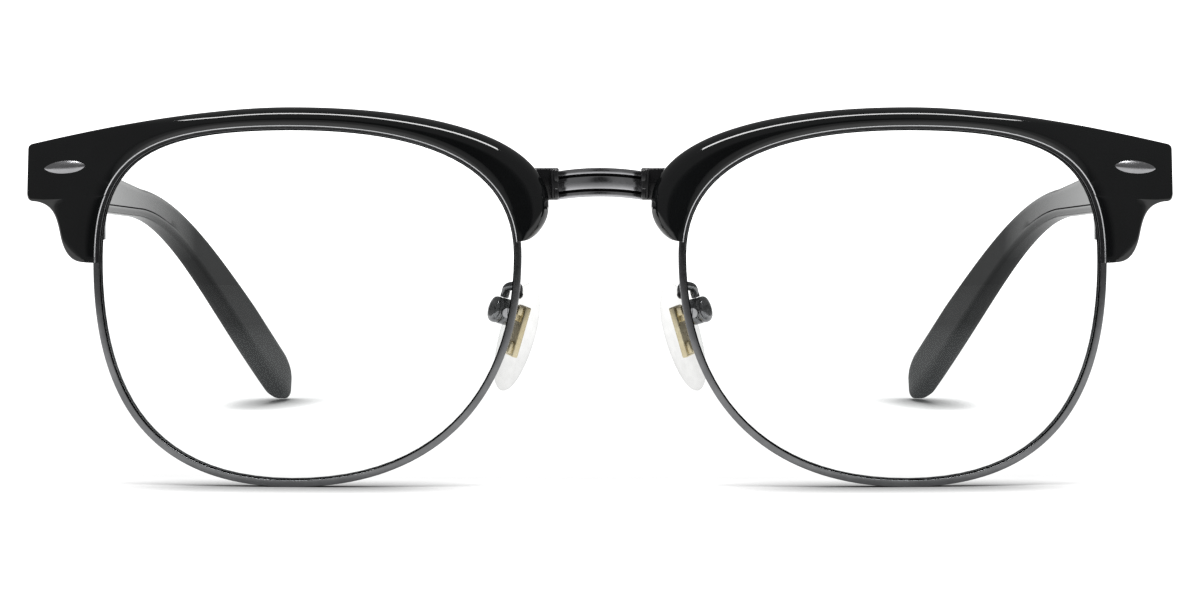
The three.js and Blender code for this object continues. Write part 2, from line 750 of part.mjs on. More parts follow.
// The arched bar between the brows, with three raised bands along its front.
function bridge() {
  const [half, deep] = [bridgeHeight / 2, bridgeThickness];
  const section = [
    [bridgeEdge, -half],
    [0, bridgeEdge - half],
    ...bridgeGrooveRises.flatMap((z) => [
      [0, z - bridgeGrooveHalf],
      [bridgeGroove, z],
      [0, z + bridgeGrooveHalf],
    ]),
    [0, half - bridgeEdge],
    [bridgeEdge, half],
    [deep, half],
    [deep, -half],
  ];
  const plateFront = onFront(-lensCentreX + bridgeEndX, bridgeV, lugPlateW[1]).y;
  const steps = 14;
  const rings = Array.from({ length: steps + 1 }, (_, i) => {
    const x = (2 * i - steps) / steps;
    const bow = 1 - x * x;
    const y = plateFront - deep - bridgeBow * bow;
    const z = lensCentreZ + bridgeV + bridgeRise * (bow - 0.5);
    return section.map(([back, rise]) => vec3(x * bridgeEndX, y + back, z + rise));
  });
  return skin(rings);
}

function bridgeLug() {
  return lugPlate().subtract(browScrewHole(browScrews.inner));
}

// ---------------------------------------------------------------- nose pad

const padUp = vec3(-Math.sin(padTilt), 0, Math.cos(padTilt));
const padOut = vec3(Math.cos(padSplay), -Math.sin(padSplay), 0)
  .addScaledVector(padUp, Math.cos(padSplay) * Math.sin(padTilt))
  .normalize();
const padBack = padUp.clone().cross(padOut);
const padCentre = vec3(bridgeWidth / 2, padSetback, lensCentreZ - padDrop);

// Turns a geometry built with X away from the nose, Y back and Z up into its place on the pad.
function onPad(geometry) {
  const turn = new THREE.Matrix4().makeBasis(padOut, padBack, padUp).setPosition(padCentre);
  return solid(geometry.applyMatrix4(turn));
}

const padPoint = (out, back, up) =>
  padCentre
    .clone()
    .addScaledVector(padOut, out)
    .addScaledVector(padBack, back)
    .addScaledVector(padUp, up);

const padBox = (low, high, gap = 0) => {
  const size = vec3(...high).sub(vec3(...low)).addScalar(2 * gap);
  const middle = vec3(...low).add(vec3(...high)).divideScalar(2);
  return onPad(new THREE.BoxGeometry(size.x, size.y, size.z).translate(...middle));
};

const mouthOut = padThickness / 2 + boxClearance;
const padPivot = padPoint(mouthOut + pivotDepth, 0, boxLift);
const tongueEnd = mouthOut + boxLength - boxWall - tongueShort;

const pivotPoint = (back) => padPivot.clone().addScaledVector(padBack, back);
const padScrewHole = (gap) => rod(pivotPoint(-4), pivotPoint(4), padScrewRadius + gap, 14);

const insert = (gap = 0) => {
  const [l, b, t] = [insertLength / 2, insertWidth / 2, insertThickness / 2];
  const [h, d] = [tongueHeight / 2, tongueThickness / 2];
  const leaf = padBox([-t, -b, -l], [t, b, l], gap);
  return leaf.add(padBox([0, -d, boxLift - h], [tongueEnd, d, boxLift + h], gap));
};

const padInsert = () => insert().subtract(padScrewHole(runningGap));

function nosePad() {
  const half = padThickness / 2;
  const inner = [[0, 1], [padFlat, 1], ...padEdge];
  const profile = [
    ...inner.map(([radius, height]) => vec2(radius, -half * height)),
    vec2(1, 0),
    ...inner.map(([radius, height]) => vec2(radius, half * height)).reverse(),
  ];
  const geometry = new THREE.LatheGeometry(profile, 28).scale(padLength / 2, 1, padWidth / 2);
  return onPad(geometry.rotateZ(-Math.PI / 2).rotateX(Math.PI / 2)).subtract(insert(slipGap));
}

function padBoxDrum() {
  const [mouth, end] = [padPoint(mouthOut, 0, boxLift), padPoint(mouthOut + boxLength, 0, boxLift)];
  const floor = padPoint(mouthOut + boxLength - boxWall, 0, boxLift);
  const before = padPoint(mouthOut - spare, 0, boxLift);
  return rod(mouth, end, boxRadius, 24)
    .subtract(rod(before, floor, boxRadius - boxWall, 20))
    .subtract(padScrewHole(screwGap));
}

function padScrew() {
  const head = pivotPoint(-boxRadius - padScrewHead.height);
  return screw(head, pivotPoint(boxRadius), padScrewHead, padScrewRadius);
}

// The bent wire from the rim, back and over, to the top of the pad's box.
function padArm() {
  const root = onFront(-halfLens - rimWidth / 2, wireRootV, halfDepth + slipGap);
  const boxTop = boxLift + boxRadius + solderGap;
  const end = padPoint(mouthOut + boxLength / 2, 0, boxTop);
  const path = new THREE.CatmullRomCurve3([
    root,
    root.clone().add(vec3(0, 0.8, 0)),
    root.clone().add(vec3(0.2, 2.1, 0.9)),
    end.clone().add(vec3(-0.5, -0.7, 1.3)),
    end.clone().addScaledVector(padUp, 0.5),
    end,
  ]);
  const circle = new THREE.Shape().absarc(0, 0, wireRadius, 0, 2 * Math.PI);
  const settings = { extrudePath: path, steps: 20, curveSegments: 4 };
  return solid(new THREE.ExtrudeGeometry(circle, settings));
}

// ---------------------------------------------------------------- assembly

const sidePieces = {
  brow: [brow(), colours.gloss],
  plaque: [plaque(), colours.plaque],
  rim: [rim(), colours.gunmetal],
  lens: [lens(), colours.lens],
  end_piece: [endPiece(), colours.gunmetal],
  rim_lock: [rimLock(), colours.gunmetal],
  closing_screw: [closingScrew(), colours.screw],
  brow_screw_outer: [browScrew(browScrews.outer), colours.screw],
  brow_screw_inner: [browScrew(browScrews.inner), colours.screw],
  bridge_lug: [bridgeLug(), colours.gunmetal],
  pad_arm: [padArm(), colours.gunmetal],
  pad_box: [padBoxDrum(), colours.gunmetal],
  pad_screw: [padScrew(), colours.screw],
  pad_insert: [padInsert(), colours.insert],
  nose_pad: [nosePad(), colours.silicone],
  temple: [temple(), colours.gloss],
  temple_core: [templeCore(), colours.gunmetal],
  hinge_screw: [hingeScrew(), colours.screw],
};

const glasses = new THREE.Group();
glasses.add(meshOf("bridge", bridge(), colours.gunmetal));
for (const [side, way] of [["left", 1], ["right", -1]]) {
  const half = new THREE.Group();
  half.scale.x = way;
  for (const [name, [body, material]] of Object.entries(sidePieces)) {
    half.add(meshOf(`${name}_${side}`, body, material));
  }
  glasses.add(half);
}

// The origin is under the middle of the whole object, on the surface that it stands on.
const extent = new THREE.Box3().setFromObject(glasses);
const middle = extent.getCenter(vec3());
glasses.position.set(-middle.x, -middle.y, -extent.min.z);

export default glasses;
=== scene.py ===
"""Half rim (browline) eyeglasses: the visible pieces and finishes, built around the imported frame.

The pieces' sizes are in millimetres; points of the frame, the studio and the finishes' grain are in metres.
+X is the wearer's left, +Y runs back to the ears.
Places on the front are given as (u, v, w) in millimetres: u outwards and v up from a lens's centre,
w back from the curved front surface.
"""

import json
import logging
import math
from dataclasses import dataclass
from enum import Enum
from typing import Callable, Iterable

import bmesh
import bpy
from mathutils import Matrix, Vector
from mathutils.geometry import interpolate_bezier


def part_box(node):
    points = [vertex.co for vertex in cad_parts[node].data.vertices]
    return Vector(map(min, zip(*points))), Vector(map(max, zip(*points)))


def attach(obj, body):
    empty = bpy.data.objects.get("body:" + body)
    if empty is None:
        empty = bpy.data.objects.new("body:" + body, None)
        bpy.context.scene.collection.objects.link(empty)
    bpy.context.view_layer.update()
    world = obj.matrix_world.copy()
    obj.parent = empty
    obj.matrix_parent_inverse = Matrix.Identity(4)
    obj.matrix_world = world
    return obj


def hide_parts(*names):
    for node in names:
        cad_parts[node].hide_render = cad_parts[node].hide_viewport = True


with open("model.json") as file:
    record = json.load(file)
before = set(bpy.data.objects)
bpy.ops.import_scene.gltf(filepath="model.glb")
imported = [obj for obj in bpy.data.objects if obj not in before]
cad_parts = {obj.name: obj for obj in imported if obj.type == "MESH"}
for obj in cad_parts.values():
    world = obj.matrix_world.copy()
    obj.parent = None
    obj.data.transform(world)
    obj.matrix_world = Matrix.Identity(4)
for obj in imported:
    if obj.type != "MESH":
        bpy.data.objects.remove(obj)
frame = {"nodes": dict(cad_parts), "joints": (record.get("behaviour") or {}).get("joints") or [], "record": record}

log = logging.getLogger("eyeglasses")

MM = 0.001
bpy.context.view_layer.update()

Socket = bpy.types.NodeSocket
Colour = tuple[float, float, float]


class Side(Enum):
    """The wearer's side, with the sign of its X."""

    LEFT = 1
    RIGHT = -1

    @property
    def suffix(self) -> str:
        """The ending of this side's node names."""
        return self.name.lower()


# ---------------------------------------------------------------- finishes


class Graph:
    """The node tree of a material or of the world, with short ways to add and link nodes."""

    def __init__(self, owner: bpy.types.Material | bpy.types.World) -> None:
        """Starts an empty tree with an output.

        Args:
            owner: the material or the world.
        """
        owner.use_nodes = True
        self.owner = owner
        self.tree = owner.node_tree
        self.tree.nodes.clear()
        kind = "World" if isinstance(owner, bpy.types.World) else "Material"
        self.output = self.add("Output" + kind)

    def add(self, kind: str, **inputs: object) -> bpy.types.Node:
        """Adds a node and sets its inputs.

        Args:
            kind: the node's type, after ShaderNode.
            inputs: values by input name, with _ for a space.

        Returns:
            The node.
        """
        node = self.tree.nodes.new("ShaderNode" + kind)
        for name, value in inputs.items():
            node.inputs[name.replace("_", " ")].default_value = value
        return node

    def link(self, source: Socket, target: Socket) -> None:
        """Joins two sockets."""
        self.tree.links.new(source, target)

    def show(self, shader: Socket) -> bpy.types.Material | bpy.types.World:
        """Joins the shader to the output and returns the owner."""
        self.link(shader, self.output.inputs["Surface"])
        return self.owner

    def axes(self, space: str = "Object") -> bpy.types.Node:
        """A node whose outputs are the place's X, Y and Z."""
        place = self.add("TexCoord")
        split = self.add("SeparateXYZ")
        self.link(place.outputs[space], split.inputs["Vector"])
        return split

    def ranged(self, value: Socket, start: float, end: float, low: float = 0.0, high: float = 1.0) -> Socket:
        """Maps start to end onto low to high, and goes no further."""
        node = self.add("MapRange", From_Min=start, From_Max=end, To_Min=low, To_Max=high)
        self.link(value, node.inputs["Value"])
        return node.outputs["Result"]

    def step(self, value: Socket, start: float, end: float) -> Socket:
        """A soft step from 0 at start to 1 at end."""
        share = self.ranged(value, start, end)
        share.node.interpolation_type = "SMOOTHSTEP"
        return share

    def product(self, *values: Socket) -> Socket:
        """Multiplies values."""
        total = values[0]
        for value in values[1:]:
            node = self.add("Math")
            node.operation = "MULTIPLY"
            self.link(total, node.inputs[0])
            self.link(value, node.inputs[1])
            total = node.outputs["Value"]
        return total

    def blend(self, first: Socket | float, second: float, share: Socket) -> Socket:
        """Mixes a grey, or one already mixed, with a second."""
        node = self.add("Mix", B=second)
        if isinstance(first, Socket):
            self.link(first, node.inputs["A"])
        else:
            node.inputs["A"].default_value = first
        self.link(share, node.inputs["Factor"])
        return node.outputs["Result"]

    def mix(self, share: Socket, first: Socket, second: Socket) -> Socket:
        """Mixes two shaders."""
        node = self.add("MixShader")
        self.link(share, node.inputs["Fac"])
        self.link(first, node.inputs[1])
        self.link(second, node.inputs[2])
        return node.outputs["Shader"]

    def noise(self, scale: float, detail: float, stretch: Colour = (1, 1, 1)) -> Socket:
        """A noise pattern on the object's own coordinates.

        Args:
            scale: pattern cells per metre.
            detail: octaves.
            stretch: scale along each axis, for brushed or drawn grain.
        """
        place = self.add("TexCoord")
        mapping = self.add("Mapping", Scale=stretch)
        pattern = self.add("TexNoise", Scale=scale, Detail=detail, Roughness=0.55)
        self.link(place.outputs["Object"], mapping.inputs["Vector"])
        self.link(mapping.outputs["Vector"], pattern.inputs["Vector"])
        return pattern.outputs["Fac"]

    def between(self, value: Socket, low: float, high: float) -> Socket:
        """Maps a noise pattern, which mostly lies between 0.3 and 0.7, onto a range."""
        return self.ranged(value, 0.3, 0.7, low, high)

    def colours(self, value: Socket, low: Colour, high: Colour) -> Socket:
        """Mixes two colours by a noise pattern."""
        ramp = self.add("ValToRGB")
        for stop, place, colour in zip(ramp.color_ramp.elements, (0.3, 0.7), (low, high)):
            stop.position = place
            stop.color = (*colour, 1)
        self.link(value, ramp.inputs["Fac"])
        return ramp.outputs["Color"]

    def gloss_share(self, ior: float) -> Socket:
        """How much a clear skin reflects on its outer face; its inner face reflects nothing.

        Args:
            ior: index of refraction.
        """
        fresnel = self.add("Fresnel", IOR=ior)
        face = self.add("NewGeometry")
        return self.product(fresnel.outputs["Fac"], self.ranged(face.outputs["Backfacing"], 0, 1, 1, 0))

    def bump(self, value: Socket, strength: float, height: float) -> Socket:
        """A bump of the given height in metres."""
        node = self.add("Bump", Strength=strength, Distance=height)
        self.link(value, node.inputs["Height"])
        return node.outputs["Normal"]


@dataclass(frozen=True)
class Polish:
    """A polished surface: a base colour that varies a little, fine grain and a faint unevenness.

    Attributes:
        name: the material's name.
        dark: the darker of its two colours.
        light: the lighter of its two colours.
        metallic: 1 for metal, 0 for plastic.
        rough: its lowest and highest roughness.
        grain: pattern cells per metre.
        stretch: the grain's scale along each axis.
        relief: height of the unevenness in metres.
        ior: index of refraction.
        satin: where along Y it starts and stops turning satin.
    """

    name: str
    dark: Colour
    light: Colour
    metallic: float
    rough: tuple[float, float]
    grain: float = 900.0
    stretch: Colour = (1.0, 1.0, 1.0)
    relief: float = 0.000002
    ior: float = 1.5
    satin: tuple[float, float] | None = None

    def make(self) -> bpy.types.Material:
        """Builds the material."""
        graph = Graph(bpy.data.materials.new(self.name))
        surface = graph.add("BsdfPrincipled", Metallic=self.metallic, IOR=self.ior)
        wide = graph.noise(self.grain * 0.12, 3.0)
        fine = graph.noise(self.grain, 5.0, self.stretch)
        graph.link(graph.colours(wide, self.dark, self.light), surface.inputs["Base Color"])
        graph.link(graph.between(fine, *self.rough), surface.inputs["Roughness"])
        graph.link(graph.bump(fine, 0.25, self.relief), surface.inputs["Normal"])
        skin = surface.outputs["BSDF"]
        if self.satin:
            skin = self.fade(graph, skin, graph.colours(wide, self.dark, self.light))
        return graph.show(skin)

    def fade(self, graph: Graph, skin: Socket, colour: Socket) -> Socket:
        """Lets the polish fade into a satin skin towards the rear."""
        dull = graph.add("BsdfPrincipled", Roughness=0.5, IOR=1.1)
        graph.link(colour, dull.inputs["Base Color"])
        share = graph.ranged(graph.axes().outputs["Y"], *self.satin)
        return graph.mix(share, skin, dull.outputs["BSDF"])


@dataclass(frozen=True)
class ClearLens:
    """A thin clear lens: it lets everything through and mirrors a little, with a faint coating tint.

    Attributes:
        name: the material's name.
        tint: colour of what passes through one face.
        mirror: colour of what it reflects.
    """

    name: str = "clear_lens"
    tint: Colour = (0.992, 0.996, 0.995)
    mirror: Colour = (0.88, 0.93, 0.94)

    def make(self) -> bpy.types.Material:
        """Builds the material."""
        graph = Graph(bpy.data.materials.new(self.name))
        through = graph.add("BsdfTransparent", Color=(*self.tint, 1))
        gloss = graph.add("BsdfGlossy", Color=(*self.mirror, 1), Roughness=0.01)
        smear = graph.noise(120.0, 3.0)
        graph.link(graph.between(smear, 0.008, 0.03), gloss.inputs["Roughness"])
        return graph.show(graph.mix(graph.gloss_share(1.5), through.outputs["BSDF"], gloss.outputs["BSDF"]))


@dataclass(frozen=True)
class ClearSilicone:
    """Soft clear silicone, slightly hazy, with a painted grey skin that shades its outline.

    Attributes:
        name: the material's name.
        dark: the cloudier of its two tints.
        light: the clearer of its two tints.
        skin: the darker painted grey of its surface, shade that shows at its outline.
        edge: the lighter one.
    """

    name: str = "clear_silicone"
    skin: Colour = (0.12, 0.12, 0.122)
    edge: Colour = (0.2, 0.2, 0.203)
    dark: Colour = (0.84, 0.84, 0.835)
    light: Colour = (0.9, 0.9, 0.895)

    def make(self) -> bpy.types.Material:
        """Builds the material."""
        graph = Graph(bpy.data.materials.new(self.name))
        through = graph.add("BsdfTransparent")
        skin = graph.add("BsdfPrincipled", IOR=1.42)
        haze = graph.noise(700.0, 3.0)
        graph.link(graph.colours(haze, self.dark, self.light), through.inputs["Color"])
        # Painted shade: a grey skin that shows where the Fresnel share is high, drawing the pad's outline.
        graph.link(graph.colours(haze, self.skin, self.edge), skin.inputs["Base Color"])
        graph.link(graph.between(haze, 0.08, 0.2), skin.inputs["Roughness"])
        graph.link(graph.bump(haze, 0.3, 0.00001), skin.inputs["Normal"])
        return graph.show(graph.mix(graph.gloss_share(1.28), through.outputs["BSDF"], skin.outputs["BSDF"]))


class Finishes:
    """Every finish of the eyeglasses, each made once."""

    def __init__(self) -> None:
        """Makes the materials."""
        black, soot = (0.0036, 0.0039, 0.0041), (0.0056, 0.0061, 0.0064)
        steel, pale = (0.3, 0.3, 0.31), (0.38, 0.38, 0.39)
        grain = 2600.0

        def metal(name: str, dark: Colour, light: Colour, rough: tuple[float, float]) -> bpy.types.Material:
            """A metal with a fine grain."""
            return Polish(name, dark, light, 1.0, rough, grain).make()

        self.gloss = Polish("black_gloss", black, soot, 0.0, (0.03, 0.07)).make()
        self.temple = Polish(
            "temple_gloss", black, soot, 0.0, (0.1, 0.16), ior=1.7, satin=(-0.046, 0.006)
        ).make()
        self.gunmetal = Polish(
            "gunmetal", (0.14, 0.142, 0.146), (0.19, 0.192, 0.196), 1.0, (0.17, 0.24), grain, relief=0.000001
        ).make()
        # A lighter copy of the rim's gunmetal for the bridge: painted light, so that its bands show the brightness
        # of the light they catch.
        self.bridge = metal("bridge_gunmetal", (0.38, 0.38, 0.392), (0.46, 0.46, 0.475), (0.14, 0.22))
        self.gold = metal("pad_gold", (0.72, 0.62, 0.4), (0.84, 0.76, 0.54), (0.25, 0.4))
        # A light metal for the first strips of the brow's lens-side rounding: a painted highlight line along the
        # black bar's lens edge.
        self.edge = metal("polished_edge", (0.5, 0.5, 0.51), (0.6, 0.6, 0.61), (0.2, 0.3))
        self.plaque = Polish("plaque_metal", steel, pale, 1.0, (0.2, 0.32), 2200.0, (0.3, 2, 2)).make()
        self.screw = Polish("screw_steel", steel, pale, 1.0, (0.16, 0.3), 3000.0).make()
        self.dark = Polish(
            "claw_black", (0.01, 0.01, 0.011), (0.018, 0.018, 0.019), 0.0, (0.12, 0.22), grain
        ).make()
        # A dark matte finish: the matte wall of the brow beside the rim, the lens's ground edge painted near-black
        # for the shade inside the rim's groove, and painted shade in the bridge's grooves.
        self.ground = Polish(
            "ground_edge", (0.008, 0.008, 0.009), (0.016, 0.016, 0.017), 0.0, (0.5, 0.7), ior=1.12
        ).make()
        self.lens = ClearLens().make()
        self.silicone = ClearSilicone().make()


# ---------------------------------------------------------------- mesh tools


def loft(
    rings: list[list[Vector]], closed: bool = False, marks: dict[int, int] | None = None
) -> bmesh.types.BMesh:
    """Extrudes a ring of points from place to place.

    Args:
        rings: the rings in order, each with the same number of points.
        closed: whether the last ring joins the first; otherwise both ends are capped.
        marks: material numbers of strips, each by the point that it starts from.

    Returns:
        A closed skin whose faces point outwards.
    """
    bm = bmesh.new()
    ring = bmesh.ops.create_circle(bm, segments=len(rings[0]), radius=1.0)["verts"]
    for vert, point in zip(ring, rings[0]):
        vert.co = point
    for points in rings[1:] + (rings[:1] if closed else []):
        edges = [bm.edges.get((a, b)) for a, b in zip(ring, ring[1:] + ring[:1])]
        made = bmesh.ops.extrude_edge_only(bm, edges=edges)["geom"]
        fresh = {item for item in made if isinstance(item, bmesh.types.BMVert)}
        before = ring
        ring = [next(e.other_vert(v) for e in v.link_edges if e.other_vert(v) in fresh) for v in before]
        for i, number in (marks or {}).items():
            corners = (before[i], ring[i], ring[(i + 1) % len(ring)])
            shared = set.intersection(*(set(vert.link_faces) for vert in corners))
            shared.pop().material_index = number
        for vert, point in zip(ring, points):
            vert.co = point
    if closed:
        bmesh.ops.remove_doubles(bm, verts=bm.verts, dist=1e-8)
    else:
        bmesh.ops.holes_fill(bm, edges=bm.edges, sides=0)
    bmesh.ops.recalc_face_normals(bm, faces=bm.faces)
    return bm


def bezier(knots: list[tuple], steps: list[int]) -> list[Vector]:
    """Points along a chain of cubic curves.

    Args:
        knots: first point, then for each curve its two handles and its end.
        steps: number of points along each curve.

    Returns:
        The points, without repeats where two curves meet.
    """
    points = [Vector(knots[0])]
    for i, count in enumerate(steps):
        first, second, end = (Vector(p) for p in knots[3 * i + 1:3 * i + 4])
        points += interpolate_bezier(Vector(knots[3 * i]), first, second, end, count + 1)[1:]
    return points


def block(low: tuple, high: tuple, edge: float) -> bmesh.types.BMesh:
    """A box with rounded edges.

    Args:
        low: its lowest corner, in millimetres.
        high: its highest corner.
        edge: the edges' radius.
    """
    bm = bmesh.new()
    bmesh.ops.create_cube(bm, size=1.0)
    size = (Vector(high) - Vector(low)) * MM
    bmesh.ops.scale(bm, vec=size, verts=bm.verts)
    bmesh.ops.translate(bm, vec=(Vector(high) + Vector(low)) / 2 * MM, verts=bm.verts)
    bevel = {"affect": "EDGES", "segments": 3, "profile": 0.5, "material": -1}
    bmesh.ops.bevel(bm, geom=list(bm.edges), offset=edge * MM, **bevel)
    return bm


def merge(target: bmesh.types.BMesh, source: bmesh.types.BMesh) -> None:
    """Adds a shape to another and frees it."""
    mesh = bpy.data.meshes.new("part")
    source.to_mesh(mesh)
    source.free()
    target.from_mesh(mesh)
    bpy.data.meshes.remove(mesh)


def quarter(radius: float, steps: int) -> list[tuple[float, float]]:
    """A rounded corner as pairs of insets from its two sides, from (0, radius) to (radius, 0)."""
    turns = [math.radians(90 * i / steps) for i in range(steps + 1)]
    return [(radius * (1 - math.cos(a)), radius * (1 - math.sin(a))) for a in turns]


def circle(count: int) -> list[tuple[float, float]]:
    """Points once round a circle of radius 1."""
    return [(math.cos(2 * math.pi * k / count), math.sin(2 * math.pi * k / count)) for k in range(count)]


def add_object(name: str, data: bpy.types.ID) -> bpy.types.Object:
    """Puts a mesh, light or camera into the scene as an object."""
    obj = bpy.data.objects.new(name, data)
    bpy.context.scene.collection.objects.link(obj)
    return obj


def smooth_path(spots: list[Vector], steps: int) -> list[Vector]:
    """A smooth curve through points.

    Args:
        spots: the points.
        steps: number of points between two of them.
    """
    path = [spots[0]]
    for i in range(len(spots) - 1):
        before, after = spots[max(i - 1, 0)], spots[min(i + 2, len(spots) - 1)]
        first = spots[i] + (spots[i + 1] - before) / 6
        second = spots[i + 1] - (after - spots[i]) / 6
        path += interpolate_bezier(spots[i], first, second, spots[i + 1], steps + 1)[1:]
    return path


@dataclass
class Piece:
    """A finished visible piece and where it belongs.

    Attributes:
        name: the object's name.
        body: the CAD body that it moves with.
        slot: the record's material slot; not used.
        material: its finish.
        nodes: the CAD nodes that it stands for.
        sharp: edges steeper than this many degrees stay crisp.
        others: finishes of the faces marked 1, 2 and so on.
    """

    name: str
    body: str
    slot: str
    material: bpy.types.Material
    nodes: tuple[str, ...] = ()
    sharp: float = 50.0
    others: tuple[bpy.types.Material, ...] = ()

    def finish(self, bm: bmesh.types.BMesh) -> bpy.types.Object:
        """Turns a bmesh into the object and ties it to the frame.

        Args:
            bm: the shape, in the frame's own coordinates; it is freed.

        Returns:
            The object.
        """
        mesh = bpy.data.meshes.new(self.name)
        bm.to_mesh(mesh)
        bm.free()
        mesh.shade_smooth()
        mesh.set_sharp_from_angle(angle=math.radians(self.sharp))
        mesh.materials.append(self.material)
        for material in self.others:
            mesh.materials.append(material)
        obj = add_object(self.name, mesh)
        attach(obj, self.body)
        if self.nodes:
            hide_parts(*self.nodes)
        log.info("%s: %d faces on %s", self.name, len(mesh.polygons), self.body)
        return obj


# ---------------------------------------------------------------- the front


@dataclass
class LensOutline:
    """The opening of a rim, in millimetres from its own centre.

    Attributes:
        half: half its width.
        top: height of its highest point over the centre.
        bottom: height of its lowest point.
        top_shift: how far out of the middle the highest point lies.
        bottom_shift: how far out the lowest point lies.
        outer_rise: height of the outermost point.
        inner_rise: height of the point nearest to the nose.
    """

    half: float
    top: float
    bottom: float
    top_shift: float = 2.1
    bottom_shift: float = 1.9
    outer_rise: float = 5.8
    inner_rise: float = 6.0

    def knots(self) -> list[tuple[float, float]]:
        """The outline's four curves, clockwise from the top as seen from the front of the left lens."""
        half, top, low = self.half, self.top, self.bottom
        ts, bs, out, inn = self.top_shift, self.bottom_shift, self.outer_rise, self.inner_rise
        return [
            (ts, top),
            (ts + 0.75 * (half - ts), top), (half, out + 0.77 * (top - out)), (half, out),
            (half, out + 0.54 * (low - out)), (bs + 0.8 * (half - bs), low), (bs, low),
            (bs - 0.71 * (half + bs), low), (-half, inn + 0.54 * (low - inn)), (-half, inn),
            (-half, inn + 0.72 * (top - inn)), (ts - 0.61 * (half + ts), top), (ts, top),
        ]

    def stations(self, steps: int) -> list[tuple[Vector, Vector]]:
        """Points and outward normals once round.

        Args:
            steps: points in each quarter.

        Returns:
            Pairs of point and normal.
        """
        points = bezier(self.knots(), [steps] * 4)[:-1]
        pairs = []
        for i, point in enumerate(points):
            along = points[(i + 1) % len(points)] - points[i - 1]
            pairs.append((point, Vector((-along.y, along.x)).normalized()))
        return pairs


class Front:
    """Where things are on one side of the front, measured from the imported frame."""

    FACE_RADIUS = 150.0
    WRAP = math.tan(math.radians(3))
    RIM_WIDTH = 0.85
    RIM_DEPTH = 1.8

    def __init__(self, side: Side) -> None:
        """Reads the lens's place and size from its rim's box.

        Args:
            side: which side.
        """
        self.side = side
        low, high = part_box(f"rim_{side.suffix}")
        self.centre_x = abs(low.x + high.x) / 2 / MM
        half = (high.x - low.x) / 2 / MM - self.RIM_WIDTH
        height = (high.z - low.z) / MM - 2 * self.RIM_WIDTH
        self.centre_z = low.z / MM + self.RIM_WIDTH + height / 2 + 0.05
        self.outline = LensOutline(half, height / 2 - 0.05, -height / 2 - 0.05)
        nearest = min(self.dish(p.x, p.y) for p, _ in self.outline.stations(12))
        self.y = low.y / MM + self.RIM_DEPTH / 2 - nearest

    def dish(self, u: float, v: float) -> float:
        """How far the curved front lies back at (u, v), in millimetres."""
        return (u * u + v * v) / (2 * self.FACE_RADIUS) + u * self.WRAP

    def at(self, u: float, v: float, w: float) -> Vector:
        """The point at (u, v, w) in the frame, in metres."""
        x = self.side.value * (self.centre_x + u)
        return Vector((x, self.y + w + self.dish(u, v), self.centre_z + v)) * MM

    def ring(self, places: Iterable[tuple[Vector, float]]) -> list[Vector]:
        """Points of the frame, each from its (u, v) and its w."""
        return [self.at(place.x, place.y, w) for place, w in places]

    def mirror(self, point: Vector) -> Vector:
        """A point that was given for the left side, in millimetres, on this side in metres."""
        return Vector((self.side.value * point.x, point.y, point.z)) * MM


@dataclass
class Part:
    """Something that a side of the front carries.

    Attributes:
        front: its side of the front.
        finishes: the shared finishes.
    """

    front: Front
    finishes: Finishes

    def finish(
        self,
        bm: bmesh.types.BMesh,
        name: str,
        node: str,
        slot: str,
        material: bpy.types.Material,
        sharp: float,
        body: str = "",
        others: tuple[bpy.types.Material, ...] = (),
    ) -> bpy.types.Object:
        """Finishes a piece whose name, node and body end in this side's name.

        Args:
            bm: its shape.
            name: the start of its name.
            node: the start of the CAD node that it stands for.
            slot: the record's material slot.
            material: its finish.
            sharp: edges steeper than this many degrees stay crisp.
            body: the start of its body; without it, the piece rides on the front.
            others: finishes of the faces marked 1, 2 and so on.
        """
        end = "_" + self.front.side.suffix
        carrier = body + end if body else "front"
        return Piece(name + end, carrier, slot, material, (node + end,), sharp, others).finish(bm)


